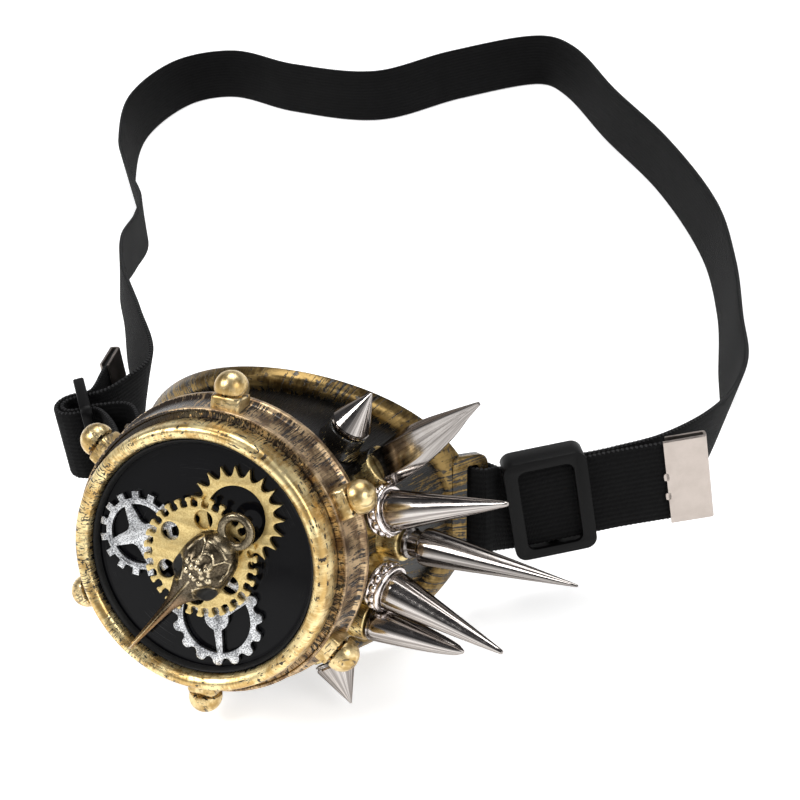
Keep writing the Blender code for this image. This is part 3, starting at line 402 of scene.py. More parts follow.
def chrome_finish(name, brightness):
    """Plated metal, drawn lengthwise: streaks run from foot to point, and the edges are darker."""
    made = Finish(name)
    along = made.add("ShaderNodeMapping", i0=made.attribute("streaks", "Vector"), Scale=(5.0, 5.0, 0.03))
    streak = made.noise(along, 1.0, 3.0, 0.6)
    stain = made.noise(made.goggle_space(), 0.5, 3.0, 0.6)
    made.set(Base_Color=made.mix(made.span(streak, 0.36, 0.64), scaled((0.27, 0.245, 0.23), brightness),
                                 scaled((0.62, 0.58, 0.55), brightness)),
             Metallic=1.0, Specular_Tint=(0.34, 0.31, 0.29),
             Roughness=made.span(stain, 0.3, 0.7, 0.20, 0.10),
             Normal=made.bump(streak, 0.16, 0.00008))
    return made.material


def bronze_finish():
    """Dark bronze, rubbed bright where the stored wear is high; on the bail that value is a painted
    sheen. The skull's openings are painted near-black, as painted shade.
    """
    made = Finish("dark_bronze")
    fine = made.noise(made.goggle_space(), 2.2, 4.0, 0.65)
    painted_shade = made.attribute("painted_shade")
    wear_and_sheen = made.sum(made.attribute("wear_and_sheen"), made.product(made.math("SUBTRACT", fine, 0.5), 0.35))
    dark = made.mix(made.span(fine, 0.35, 0.65), (0.050, 0.039, 0.024), (0.122, 0.096, 0.063))
    # The beak is a lighter brown, and lighter still on one flank: painted light on that side.
    dark = made.mix(made.attribute("beak"), dark, (0.34, 0.225, 0.135))
    # Painted shade: inside the skull's openings the colour is near-black, less metallic and rougher.
    dark = made.mix(painted_shade, dark, (0.006, 0.005, 0.003))
    made.set(Base_Color=made.mix(made.span(wear_and_sheen, 0.42, 0.98), dark, (0.62, 0.52, 0.35)),
             Metallic=made.span(painted_shade, 0.0, 1.0, 0.95, 0.2),
             Roughness=made.sum(made.span(fine, 0.3, 0.7, 0.34, 0.22), made.product(painted_shade, 0.3)),
             Normal=made.bump(fine, 0.4, 0.00005))
    return made.material


chrome = chrome_finish("chrome", 1.0)
dull_chrome = chrome_finish("dull_chrome", 0.66)
dark_bronze = bronze_finish()
print("metals ready")

# %% [markdown]
# ## Lens, gasket, plastic and webbing
#
# The lens is dark glossy plastic with a few fine hair scratches. The webbing's finish follows its own
# UV map, which holds metres along and across the band, so rows and ribs keep their size on every bend.

# %% Plastics
def lens_finish():
    """Dark gloss with hair scratches, most of them curved along the rim."""
    made = Finish("black_lens")
    place = made.goggle_space()
    haze = made.noise(place, 0.22, 3.0, 0.5)
    scratch = made.noise(made.add("ShaderNodeMapping", i0=place, Rotation=(0.0, 0.0, 0.7),
                                  Scale=(0.25, 5.0, 1.0)), 1.0, 5.0, 0.7, 0.6)
    rings = made.product(made.span(made.noise(made.round_lens(0.9, 0.0, 7.0), 1.0, 2.0, 0.6), 0.60, 0.68),
                         made.span(made.noise(place, 0.11, 2.0, 0.5, 0.3), 0.50, 0.62))
    scratched = made.sum(made.span(scratch, 0.66, 0.72), made.product(rings, 1.5))
    made.set(Base_Color=made.mix(rings, (0.004, 0.004, 0.005), (0.040, 0.040, 0.042)),
             Roughness=made.span(haze, 0.3, 0.7, 0.03, 0.09), Specular_IOR_Level=0.12,
             Normal=made.bump(scratched, 0.20, 0.00002))
    return made.material


def dull_plastic(name, colour, grain):
    """Moulded plastic or rubber with a fine grain."""
    made = Finish(name)
    fine = made.noise(made.millimetres(), grain, 3.0, 0.6)
    made.set(Base_Color=made.mix(made.span(fine, 0.3, 0.7), colour, scaled(colour, 1.6)),
             Roughness=made.span(fine, 0.3, 0.7, 0.37, 0.50), Specular_IOR_Level=0.14,
             Normal=made.bump(fine, 0.35, 0.00002))
    return made.material


row_pitch = 0.00118
rib_pitch = 0.00062


def webbing_finish(name, brightness, gloss):
    """Woven elastic: lengthwise rows crossed by fine ribs, with a soft sheen. The raised threads are
    painted lighter, a painted highlight, in patches of random tone.
    """
    made = Finish(name)
    along, across, _ = parts_of(made.tree, made.add("ShaderNodeUVMap", settings={"uv_map": "woven"}))
    rows = made.math("SINE", made.product(across, 2 * math.pi / row_pitch))
    ribs = made.math("ABSOLUTE", made.math("SINE", made.product(along, 2 * math.pi / rib_pitch)))
    fuzz = made.noise(made.millimetres(), 3.0, 4.0, 0.7)
    patch = made.noise(made.millimetres(), 0.12, 3.0, 0.6)
    height = made.sum(made.product(rows, 0.30), made.product(ribs, 0.75), made.product(fuzz, 0.5))
    # Painted highlight: the higher the weave, the lighter its colour; the patches are random tone.
    share = made.product(made.span(height, -0.1, 1.3), made.span(patch, 0.2, 0.8, 0.6, 1.0))
    made.set(Base_Color=made.mix(share, scaled((0.0022, 0.0022, 0.0023), brightness),
                                 scaled((0.0090, 0.0090, 0.0094), brightness)),
             Roughness=made.span(fuzz, 0.2, 0.8, 0.72, 0.92), Specular_IOR_Level=gloss,
             Sheen_Weight=0.01, Sheen_Roughness=0.5, Normal=made.bump(height, 0.8, 0.00022))
    return made.material


lens_black = lens_finish()
gasket_black = dull_plastic("gasket_black", (0.012, 0.012, 0.012), 3.0)
slider_black = dull_plastic("slider_black", (0.0020, 0.0020, 0.0021), 5.0)
webbing = webbing_finish("webbing", 1.0, 0.13)
# The selvedge loops are seven times lighter than the band: a painted highlight on the loops' edges.
selvedge_highlight = webbing_finish("selvedge", 7.0, 0.45)
print("finishes:", len(bpy.data.materials))

# %% [markdown]
# ## Helpers for meshes
#
# A piece is made in its own frame and then moved by baking a matrix into its mesh, so its object stays
# at the origin. Dressing it merges doubles, turns its faces outwards, marks the sharp edges, ties it to
# the body it rides on, and hides the solids that it stands for.

# %% Clean and finished meshes
double_distance = 0.0000005


def clean(mesh, weld=True):
    """Turn the faces outwards, after merging doubles if asked."""
    shape = bmesh.new()
    shape.from_mesh(mesh)
    if weld:
        bmesh.ops.remove_doubles(shape, verts=shape.verts, dist=double_distance)
        bmesh.ops.dissolve_degenerate(shape, edges=shape.edges, dist=double_distance)
    bmesh.ops.recalc_face_normals(shape, faces=shape.faces)
    shape.to_mesh(mesh)
    shape.free()


def result_mesh(item):
    """The mesh that an object has after its modifiers."""
    bpy.context.view_layer.update()
    graph = bpy.context.evaluated_depsgraph_get()
    return bpy.data.meshes.new_from_object(item.evaluated_get(graph))


def settle(item):
    """Replace an object's mesh by the one it has after its modifiers."""
    mesh = result_mesh(item)
    item.modifiers.clear()
    item.data = mesh


def exchange(item, name):
    """A new object with the mesh that another has after its modifiers; the other is used up."""
    mesh = result_mesh(item)
    bpy.data.objects.remove(item, do_unlink=True)
    return link_new(name, mesh)


print("doubles closer than", double_distance, "m are merged")

# %% Dressing a piece
def gild(item, rule):
    """Store each vertex's share of gold: the rule gets its place and normal in the goggle's frame."""
    back = goggle.inverted()
    turn = back.to_3x3()
    values = item.data.attributes.new("gilding", "FLOAT", "POINT")
    for vertex in item.data.vertices:
        values.data[vertex.index].value = rule(back @ vertex.co, turn @ vertex.normal)


def dress(item, finish, body, nodes, matrix=None, angle=40.0, weld=True):
    """Bake the place, set the finish and shading, and tie the piece to its body."""
    if weld:
        clean(item.data)
    if matrix is not None:
        item.data.transform(matrix)
    item.matrix_world = Matrix.Identity(4)
    item.data.materials.clear()
    item.data.materials.append(finish)
    item.data.shade_smooth()
    item.data.set_sharp_from_angle(angle=math.radians(angle))
    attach(item, body)
    if nodes:
        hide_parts(*nodes)
    print(f"{item.name}: {len(item.data.polygons)} faces on {body}")


print("dressing ready")

# %% Skins, joins and cuts
def skin(name, rings, looped=False):
    """A mesh through rings of equally many points, closed at both ends or looped."""
    count = len(rings[0])
    faces = []
    for row in range(len(rings) if looped else len(rings) - 1):
        here = row * count
        there = (row + 1) % len(rings) * count
        for index in range(count):
            beside = (index + 1) % count
            faces.append((here + index, here + beside, there + beside, there + index))
    if not looped:
        faces += [tuple(range(first, first + count)) for first in (0, (len(rings) - 1) * count)]
    mesh = bpy.data.meshes.new(name)
    mesh.from_pydata([point for ring in rings for point in ring], [], faces)
    return link_new(name, mesh)


def join(name, items):
    """One object from several, with their places baked in."""
    shape = bmesh.new()
    for item in items:
        item.data.transform(item.matrix_world)
        shape.from_mesh(item.data)
        bpy.data.objects.remove(item, do_unlink=True)
    mesh = bpy.data.meshes.new(name)
    shape.to_mesh(mesh)
    shape.free()
    return link_new(name, mesh)


def cut(item, other, operation="DIFFERENCE"):
    """Cut or join with another object, which is used up."""
    step = item.modifiers.new("cut", "BOOLEAN")
    step.operation = operation
    step.solver = "EXACT"
    step.object = other
    settle(item)
    bpy.data.objects.remove(other, do_unlink=True)


print("mesh helpers ready")

# %% [markdown]
# ## A lathe made of Geometry Nodes
#
# Bezel, cap ring, lens, gasket and cones are all turned shapes: one section, swept round an axis. A
# screw modifier would do it too, but a node tree shows the rule itself. The section comes in as a row
# of points. A grid has one column for each step round and one row for each point, and every grid point
# looks up its radius and height in the section and is set at its angle.

# %% Calls for Geometry Nodes
def new_tree(name, **inputs):
    """A Geometry Nodes tree with named inputs, and two short calls that add its nodes."""
    tree = bpy.data.node_groups.new(name, "GeometryNodeTree")
    tree.interface.new_socket("Geometry", in_out="OUTPUT", socket_type="NodeSocketGeometry")
    for label, kind in {"Geometry": "Geometry", **inputs, "Finish": "Material"}.items():
        tree.interface.new_socket(label.replace("_", " "), in_out="INPUT", socket_type="NodeSocket" + kind)
    given = tree.nodes.new("NodeGroupInput").outputs
    return tree, given, partial(add_node, tree), partial(calculate, tree)


def close_tree(tree, given, geometry):
    """End a tree in Realize Instances and Set Material."""
    real = add_node(tree, "GeometryNodeRealizeInstances", i0=geometry)
    painted = add_node(tree, "GeometryNodeSetMaterial", Geometry=real, Material=given["Finish"])
    tree.links.new(painted, tree.nodes.new("NodeGroupOutput").inputs[0])
    return tree


def round_place(add, calc, reach, angle, height):
    """A place at a reach from the Z axis and an angle round it."""
    x, y = [calc("MULTIPLY", reach, calc(way, angle)) for way in ("COSINE", "SINE")]
    return add("ShaderNodeCombineXYZ", i0=x, i1=y, i2=height)


def grow(name, seed, tree, **values):
    """Run a tree on a seed mesh and return an object with the plain result."""
    carrier = link_new(name + "_seed", seed)
    step = carrier.modifiers.new("grow", "NODES")
    step.node_group = tree
    for socket in tree.interface.items_tree:
        label = socket.name.lower().replace(" ", "_")
        if socket.in_out == "INPUT" and label in values:
            step[socket.identifier] = values[label]
    return exchange(carrier, name)


print("node helpers ready")

# %% The lathe
def lathe_tree():
    """The section's points, repeated at even angles round the Z axis."""
    tree, given, add, calc = new_tree("lathe", Steps="Int")
    count = add("GeometryNodeAttributeDomainSize", "Point Count", Geometry=given["Geometry"])
    grid = add("GeometryNodeMeshGrid", Size_X=1.0, Size_Y=1.0,
               Vertices_X=calc("ADD", given["Steps"], 1.0), Vertices_Y=count)
    place = add("GeometryNodeInputPosition")
    across, along, _ = parts_of(tree, place)
    row = calc("ROUND", calc("MULTIPLY", calc("ADD", along, 0.5), calc("SUBTRACT", count, 1.0)))
    looked_up = add("GeometryNodeSampleIndex", settings={"data_type": "FLOAT_VECTOR"},
                    Geometry=given["Geometry"], Value=place, Index=row)
    reach, _, level = parts_of(tree, looked_up)
    spot = round_place(add, calc, reach, calc("MULTIPLY_ADD", across, 2 * math.pi, math.pi), level)
    moved = add("GeometryNodeSetPosition", Geometry=grid, Position=spot)
    welded = add("GeometryNodeMergeByDistance", Geometry=moved, Distance=double_distance)
    return close_tree(tree, given, welded)


lathe = lathe_tree()


def turned(name, section, steps, finish):
    """A body turned round Z from (radius, height) points; a ring's section is closed first."""
    if not (section[0][0] == 0.0 and section[-1][0] == 0.0):
        section = list(section) + [section[0]]
    seed = bpy.data.meshes.new(name + "_section")
    seed.from_pydata([(radius, 0.0, level) for radius, level in section], [], [])
    return grow(name, seed, lathe, steps=steps, finish=finish)


def corner_curve(start, corner, stop, steps):
    """Points of a small curve from start to stop that leans towards the corner."""
    shares = [step / steps for step in range(steps + 1)]
    return [start.lerp(corner, share).lerp(corner.lerp(stop, share), share) for share in shares]


def rounded(section, size, steps=3):
    """The section with each inner corner replaced by a small curve."""
    points = [Vector(point).to_3d() for point in section]
    made = [points[0]]
    for before, corner, after in zip(points, points[1:], points[2:]):
        back = min(size, (before - corner).length * 0.45)
        ahead = min(size, (after - corner).length * 0.45)
        made += corner_curve(corner + (before - corner).normalized() * back, corner,
                             corner + (after - corner).normalized() * ahead, steps)
    return [tuple(place.xy) for place in made + [points[-1]]]


def flowing(points, pieces):
    """A smooth line through points, with so many pieces between two of them."""
    padded = [points[0]] + list(points) + [points[-1]]
    made = []
    for a, b, c, d in zip(padded, padded[1:], padded[2:], padded[3:]):
        for piece in range(pieces):
            time = piece / pieces
            made.append(tuple(0.5 * (2 * q + (r - p) * time + (2 * p - 5 * q + 4 * r - s) * time ** 2
                                     + (3 * q - p - 3 * r + s) * time ** 3)
                              for p, q, r, s in zip(a, b, c, d)))
    made.append(tuple(points[-1]))
    return made


print("lathe ready:", len(lathe.nodes), "nodes")

# %% [markdown]
# ## Bezel
#
# The gold ring in front is a soft half-round that rolls over from the lens to a short skirt. The brush
# left most gold on its crown. Its inner edge stays black in a ragged line, and so does its outer flank.

# %% Bezel
crown_radius = 0.02670
crown_height = 0.0013
skirt_bore = 0.0272
ledge_level = -0.0022
bezel_rear = -0.0050
front = flowing([(bezel_inner, -0.0004), (bezel_inner + 0.0004, 0.00062), (crown_radius, crown_height),
                 (0.02788, 0.0007), (0.02834, -0.0010), (bezel_outer, -0.0030), (0.02828, bezel_rear)], 5)
section = front + [(skirt_bore, bezel_rear), (skirt_bore, ledge_level), (bezel_inner, ledge_level)]
bezel = turned("bezel", section, 220, bezel_gold)


def bezel_gilding(place, normal):
    """Most gold on the crown, less at the inner edge and on the flank."""
    reach = math.hypot(place.x, place.y)
    turn = math.atan2(place.y, place.x)
    inner = (reach - bezel_inner) / 0.0003
    flank = min(1.0, max(0.0, place.z / bezel_rear) * 1.6)
    patchy = 0.07 * math.sin(3.0 * turn + 0.6) + 0.05 * math.sin(7.0 * turn)
    upper = hill(turn, math.radians(55.0), 0.7)
    return 0.86 + patchy - 0.28 * max(0.0, 1.0 - inner) - (0.20 + 0.16 * upper) * flank


dress(bezel, bezel_gold, "cap", ["front_bezel"], goggle)
gild(bezel, bezel_gilding)

# %% [markdown]
# ## Lens and gasket
#
# The lens is a dark disc. A shallow step near its edge catches a thin arc of light, as on the real one.
# The gasket is the soft black ring that closes the corner between lens and bezel.

# %% Lens and gasket
lens_front = -0.0025
lens_back = -0.0040
lens_radius = 0.0269
step_level = lens_front - 0.00004
section = [(0.0, lens_front), (0.0222, lens_front), (0.0228, step_level), (0.0234, step_level),
           (0.0238, lens_front), (lens_radius - 0.0003, lens_front), (lens_radius, lens_front - 0.0003),
           (lens_radius, lens_back), (0.0, lens_back)]
lens = turned("lens_disc", section, 180, lens_black)
dress(lens, lens_black, "lens_pack", ["lens"], goggle, 30.0)
gasket_edge = bezel_inner - seat_gap
gasket_foot = lens_front + seat_gap
section = flowing([(gasket_edge, gasket_foot + 0.0013), (gasket_edge - 0.0003, gasket_foot + 0.0012),
                   (gasket_edge - 0.0007, gasket_foot + 0.0006), (gasket_edge - 0.0009, gasket_foot)], 4)
gasket = turned("gasket_ring", section + [(gasket_edge, gasket_foot)], 180, gasket_black)
dress(gasket, gasket_black, "lens_pack", ["lens_gasket"], goggle, 50.0)

# %% [markdown]
# ## Cap ring
#
# Behind the bezel the cap has a narrow step with a bright edge, a brushed band and a raised lip. The
# band's gold is thin and brown, laid on in strokes along the lens axis, and its edges shine.

# %% Cap ring
step_radius = 0.0304
band_radius = 0.0301
lip_radius = 0.0319
cap_front = -0.0053
cap_rear = -0.0140
lip_front = cap_rear + 0.0021
step_edge = 0.0007
lip_edge = 0.0005
outer = [(skirt_bore, cap_front), (step_radius - step_edge, cap_front),
         (step_radius - step_edge, cap_front + step_edge), (step_radius, cap_front + step_edge),
         (step_radius, cap_front - step_edge), (band_radius, cap_front - 0.00105),
         (band_radius + 0.0008, lip_front + lip_edge), (lip_radius - lip_edge, lip_front),
         (lip_radius, lip_front - lip_edge), (lip_radius, cap_rear + lip_edge),
         (lip_radius - lip_edge, cap_rear), (skirt_bore, cap_rear)]
cap_ring = turned("cap_band", rounded(outer, 0.00022), 220, cap_bronze)


def cap_gilding(place, normal):
    """Edges bright, band thin and streaky, and nearly bare at the upper left."""
    reach = math.hypot(place.x, place.y)
    turn = math.atan2(place.y, place.x)
    edge = hill(reach, lip_radius, 0.00020) + hill(reach, step_radius, 0.00020)
    bare = hill(turn, math.radians(120.0), 0.62)
    return 0.55 + 0.50 * edge - 0.40 * bare + 0.05 * math.sin(5.0 * turn)


dress(cap_ring, cap_bronze, "cap", ["cap_ring"], goggle)
gild(cap_ring, cap_gilding)

# %% [markdown]
# ## Six knobs on one circle
#
# Each knob is a ball that sits in the top of a small square block. One knob is made as a mesh, and
# a tree sets it on a circle as often as asked, each turned outwards. That is what instances are for.

# %% One knob
knob_radius = 0.0342
knob_ball = 0.0036
knob_depth = 0.0093
knob_phase = math.radians(23.4)


def square_ring(half, level, squareness, count=40):
    """A ring of points between a circle and a square."""
    ring = []
    for index in range(count):
        turn = 2 * math.pi * (index + 0.5) / count
        x = math.copysign(abs(math.cos(turn)) ** (2 / squareness), math.cos(turn))
        y = math.copysign(abs(math.sin(turn)) ** (2 / squareness), math.sin(turn))
        ring.append((half * x, half * y, level))
    return ring


block_top = lip_radius + 0.0010 - knob_radius
knob_foot = band_radius - knob_radius - 0.0003
rings = [square_ring(0.0032, knob_foot, 9.0), square_ring(0.00322, knob_foot + 0.0010, 9.0),
         square_ring(0.0032, block_top - 0.0006, 8.0), square_ring(0.0031, block_top - 0.0002, 7.0),
         square_ring(0.00285, block_top, 5.0), square_ring(0.00265, block_top + 0.00005, 3.0),
         square_ring(0.0026, block_top + 0.00015, 2.0), square_ring(0.00285, block_top + 0.0003, 2.0)]
for step in range(18):
    level = knob_ball * (-0.22 + 1.215 * step / 17)
    rings.append(square_ring(math.sqrt(knob_ball ** 2 - level ** 2), level, 2.0))
one_knob = skin("one_knob", rings)
clean(one_knob.data)
print("one knob:", len(one_knob.data.polygons), "faces")


# %% The circle of knobs
def circle_tree():
    """Instances of the seed mesh on a circle, their Z axis turned outwards."""
    tree, given, add, calc = new_tree("knob_circle", Count="Int", Radius="Float", Phase="Float",
                                      Depth="Float")
    row = add("GeometryNodeMeshLine", Count=given["Count"])
    angle = calc("MULTIPLY_ADD", add("GeometryNodeInputIndex"),
                 calc("DIVIDE", 2 * math.pi, given["Count"]), given["Phase"])
    spot = round_place(add, calc, given["Radius"], angle, calc("MULTIPLY", given["Depth"], -1.0))
    spots = add("GeometryNodeSetPosition", Geometry=row, Position=spot)
    facing = add("FunctionNodeEulerToRotation",
                 Euler=add("ShaderNodeCombineXYZ", i1=math.pi / 2, i2=angle))
    return close_tree(tree, given, add("GeometryNodeInstanceOnPoints", Points=spots,
                                       Instance=given["Geometry"], Rotation=facing))


knob_seed = one_knob.data
bpy.data.objects.remove(one_knob, do_unlink=True)
knobs = grow("knobs", knob_seed, circle_tree(), count=6, radius=knob_radius, phase=knob_phase,
             depth=knob_depth, finish=knob_gold)


def knob_gilding(place, normal):
    """Balls golden, the corner under the ball dark."""
    reach = math.hypot(place.x, place.y)
    neck = hill(reach, knob_radius + block_top + 0.0003, 0.0007)
    return 0.82 - 0.30 * neck - 0.12 * (normal.z < -0.5)


dress(knobs, knob_gold, "cap", [f"cap_knob_{number}" for number in range(1, 7)],
      goggle, 60.0)
gild(knobs, knob_gilding)

# %% [markdown]
# ## Eye cup
#
# The cup starts as a round barrel behind the cap and flares into an oval that is swept back at both
# ends to follow the face. Its rim is a rounded gold band; the flare is black, with gold strokes on the
# side of the spikes. A skin through fine sections gives the shape, and lugs with slots are joined on.

# %% Sections of the cup
barrel_front = cap_rear - seat_gap
barrel_end = barrel_front - 0.0007
barrel_radius = 0.0285
spigot_inner = 0.0246
spigot_outer = 0.0264
spigot_front = -0.0043
flange_thickness = 0.0026
rim_band = 0.0048
rim_rise = 0.0008
cup_wall = 0.0022
flare_hollow = 0.0006
rim_starts = 0.995


def flange_level(reach):
    """Height of the flange's middle surface at a distance across the face."""
    share = (reach - flange_shift) / flange_half_width
    return -flange_depth - flange_sweep * share ** 2 - flange_skew * reach / flange_half_width


def rim_point(turn, inset, rise):
    """A place on the flange at an angle, so far in from its edge and above its middle surface."""
    reach = flange_shift + (flange_half_width - inset) * math.cos(turn)
    return Vector((reach, (flange_half_height - inset) * math.sin(turn), flange_level(reach) + rise))


def barrel_point(turn, radius, level):
    """A place at an angle and a radius round the lens axis."""
    return Vector((*polar(radius, turn), level))


def flare_point(turn, share):
    """A point on the flare between the barrel and the rim band."""
    start = barrel_point(turn, barrel_radius, barrel_end)
    end = rim_point(turn, rim_band, flange_thickness / 2)
    return start.lerp(end, share) - barrel_point(turn, flare_hollow * math.sin(math.pi * share), 0.0)


def cup_section(turn):
    """The closed section of the cup at one angle: spigot, barrel, flare, rim, and back inside."""
    top = flange_thickness / 2
    raised = top + rim_rise
    around = [(spigot_inner, spigot_front), (spigot_outer, spigot_front), (spigot_outer, barrel_front),
              (barrel_radius - 0.0002, barrel_front), (barrel_radius, barrel_front - 0.0002)]
    points = [barrel_point(turn, radius, level) for radius, level in around]
    points += [flare_point(turn, share / 12) for share in range(13)]
    rolled = [(rim_band - 0.0003, top + 0.0003), (rim_band - 0.0010, raised),
              (rim_band * 0.7, raised + 0.00032), (rim_band / 2, raised + 0.0004),
              (rim_band * 0.3, raised + 0.00016), (rim_band / 5, raised - 0.0004), (0.0003, 0.0007),
              (0.0, 0.0), (0.0003, -0.0007), (rim_band / 5, -top)]
    points += [rim_point(turn, inset, rise) for inset, rise in rolled]
    points += [rim_point(turn, rim_band, -top), rim_point(turn, rim_band + cup_wall / 2, top - cup_wall),
               barrel_point(turn, spigot_inner, barrel_end - cup_wall)]
    return points


cup = skin("cup", [cup_section(2 * math.pi * step / 200) for step in range(200)], looped=True)
clean(cup.data)
print("cup skin:", len(cup.data.polygons), "faces")

# %% Lugs and slots
lug_height = 0.0256
lug_width = 0.0094
lug_thickness = 0.0032
slot_width = 0.0030
slot_height = 0.0212
lug_bar = 0.0026
overrun = 0.002


def lug_frame(side):
    """The middle of a lug's outer edge, X outward along the swept flange and Z out of its front."""
    reach = side * (flange_half_width + 0.0032)
    slope = (flange_level(reach + overrun) - flange_level(reach - overrun)) / (2 * overrun)
    outward = Vector((side, 0.0, side * slope)).normalized()
    normal = Vector((-side * outward.z, 0.0, side * outward.x))
    return frame_at((reach, 0.0, flange_level(reach)), outward, normal.cross(outward), normal)


def rounded_block(name, size, centre, corner, steps=5, edge=0.0, matrix=None):
    """A block with rounded upright corners, and softened edges where an edge is given."""
    outline = []
    for quarter, (side, high) in enumerate(((1, 1), (-1, 1), (-1, -1), (1, -1))):
        for step in range(steps):
            turn = (quarter + step / (steps - 1)) * math.pi / 2
            x, y = polar(corner, turn)
            outline.append((centre[0] + side * (size[0] / 2 - corner) + x,
                            centre[1] + high * (size[1] / 2 - corner) + y))
    levels = [(0.0, edge), (edge, 0.0)] if edge else [(0.0, 0.0)]
    rings = []
    for side in (-1, 1):
        for drop, inset in levels[::-side]:
            ring = []
            for x, y in outline:
                inward = Vector((centre[0] - x, centre[1] - y)).normalized() * inset
                ring.append(Vector((x + inward.x, y + inward.y, centre[2] + side * (size[2] / 2 - drop))))
            rings.append([matrix @ point for point in ring] if matrix is not None else ring)
    block = skin(name, rings)
    clean(block.data)
    return block


for side in (-1, 1):
    lug = rounded_block("lug", (lug_width, lug_height, lug_thickness), (-lug_width / 2, 0.0, 0.0), 0.0022,
                        6, 0.0004, lug_frame(side))
    cut(cup, lug, "UNION")
for side in (-1, 1):
    slot = rounded_block("slot", (slot_width, slot_height, lug_thickness + overrun * 2),
                         (-lug_bar - slot_width / 2, 0.0, 0.0), 0.0007, matrix=lug_frame(side))
    cut(cup, slot)


def cup_gilding(place, normal):
    """Gold rim, black flare at the top and left, and strokes on the spikes' side."""
    if normal.z <= -0.2:
        return 0.14
    turn = math.atan2(place.y, place.x)
    inner = math.hypot((place.x - flange_shift) / (flange_half_width - rim_band),
                       place.y / (flange_half_height - rim_band))
    if inner > rim_starts:
        value = 0.38 + 0.26 * held((inner - rim_starts) / 0.045) + 0.06 * math.sin(turn * 5.0)
    else:
        right = hill(turn, math.radians(2.0), 0.78)
        lower = hill(turn, math.radians(-55.0), 0.5)
        value = -0.25 + 0.66 * right + 0.50 * lower
    if abs(place.y) < lug_height / 2:
        lug_share = held((abs(place.x - flange_shift) - 0.0355) / 0.003)
        value = value * (1.0 - lug_share) + 0.46 * lug_share
    return value


dress(cup, cup_gold, "cup", ["cup_shell"], goggle, 35.0)
gild(cup, cup_gilding)

# %% [markdown]
# ## Seats of the spikes
#
# Every spike is screwed to a short round boss on the flare. The bosses are golden with black strokes,
# but the topmost one is nearly bare. Each stands along its own spike, so one list of places serves
# both: the angle of its foot round the lens axis, the foot's share of the way from barrel to rim, the
# angle in which the spike points, and its lean towards the front.

# %% Places of the spikes
boss_gold = brushed_gold("boss_gold", (60.0, 0.5, 0.5), (0.92, 0.74, 0.36), (0.45, 0.30, 0.11),
                         black_paint, 0.62)
spike_places = {
    "spike_1_small": (46.7, 0.36, 55.0, 11.6),
    "spike_2_blade": (29.7, 0.38, 35.7, 16.0),
    "spike_3_long": (14.0, 0.20, 13.3, 16.0),
    "spike_4_slender": (-0.1, 0.37, -2.6, 14.9),
    "spike_5_long": (-14.8, 0.19, -16.3, 15.5),
    "spike_6_bullet": (-36.2, 0.28, -8.2, 7.9),
    "spike_7_small": (-52.3, 0.29, -61.9, 11.0),
}
boss_radius = 0.0044
boss_height = 0.0046
collar_wire = 0.0012


def spike_frame(name):
    """A frame at a spike's foot, with Z along the spike."""
    angle, share, aim_angle, lean = spike_places[name]
    aim = math.radians(aim_angle)
    rise = math.radians(lean)
    along = Vector((*polar(math.cos(rise), aim), math.sin(rise)))
    turn = along.to_track_quat("Z", "Y").to_matrix().to_4x4()
    return Matrix.Translation(flare_point(math.radians(angle), share)) @ turn


def seat_above(name, height):
    """The place of a piece that stands at a height above a spike's foot."""
    return goggle @ spike_frame(name) @ Matrix.Translation((0.0, 0.0, height))


def has_collar(name):
    return name.endswith("long")


def boss_top(name):
    """Height of a boss; a collar takes up part of it."""
    return boss_height - collar_wire if has_collar(name) else boss_height


def spike_base(name):
    """Height of a spike's foot over the flare."""
    above = boss_top(name) + seat_gap
    return above + collar_wire * 1.2 + seat_gap if has_collar(name) else above


bosses = []
for name in spike_places:
    top = boss_top(name)
    section = rounded([(0.0, top), (boss_radius - 0.0001, top), (boss_radius, 0.0012),
                       (boss_radius + 0.0009, -0.0006), (0.0, -0.0011)], 0.0005, 4)
    boss = turned("boss", section, 64, boss_gold)
    boss.matrix_world = spike_frame(name)
    bosses.append(boss)
boss_set = join("spike_seats", bosses)


def boss_gilding(place, normal):
    """Golden with black strokes, but the topmost boss is nearly bare."""
    facing = max(0.0, normal.x)
    if (place - spike_frame("spike_1_small").translation).length < 0.0075:
        return 0.22 + 0.25 * facing
    return 0.60 + 0.22 * facing


dress(boss_set, boss_gold, "cup", [], goggle, 50.0)
gild(boss_set, boss_gilding)

# %% [markdown]
# ## Spikes
#
# Six spikes are turned studs: a fine groove rings the foot, and the point is a hair blunt. The tall
# thin one stands on a narrower neck. The bullet swells before it closes. The seventh is a claw-like
# blade with flat faces, so it is a skin through rings whose corners move inwards to the point. Each
# spike stores where its vertices lie round and along it, so that its streaks run lengthwise.

# %% Turned spikes
def stud_section(radius, length, swell, tip, neck=0.0):
    """The side of a stud from its blunt point to its foot, with a groove or a narrower neck."""
    shoulder = neck or 0.0014
    points = [(0.0, length), (tip * 0.6, length - tip * 0.2), (tip, length - tip * 0.9)]
    for step in range(1, 25):
        share = step / 24
        level = (length - tip * 0.9) * (1 - share) + shoulder * share
        points.append((tip + (radius - tip) * share ** (1 - swell), level))
    if neck:
        points += [(radius * 0.98, neck - 0.0004), (radius * 0.74, neck - 0.0011),
                   (radius * 0.70, neck - 0.0015), (radius * 0.70, 0.0014), (radius * 0.84, 0.0010),
                   (radius * 0.86, 0.0003)]
    else:
        points += [(radius - 0.0001, 0.0010), (radius - 0.0003, 0.0009), (radius - 0.0003, 0.0007),
                   (radius, 0.0006), (radius, 0.0003)]
    return points + [(radius * 0.82, 0.0), (0.0, 0.0)]


def keep_streaks(item):
    """Store where each vertex lies round its axis (a point on a circle) and along it in millimetres."""
    layer = item.data.attributes.new("streaks", "FLOAT_VECTOR", "POINT")
    for vertex in item.data.vertices:
        reach = max(0.00005, math.hypot(vertex.co.x, vertex.co.y))
        layer.data[vertex.index].vector = (vertex.co.x / reach, vertex.co.y / reach, vertex.co.z * 1000.0)


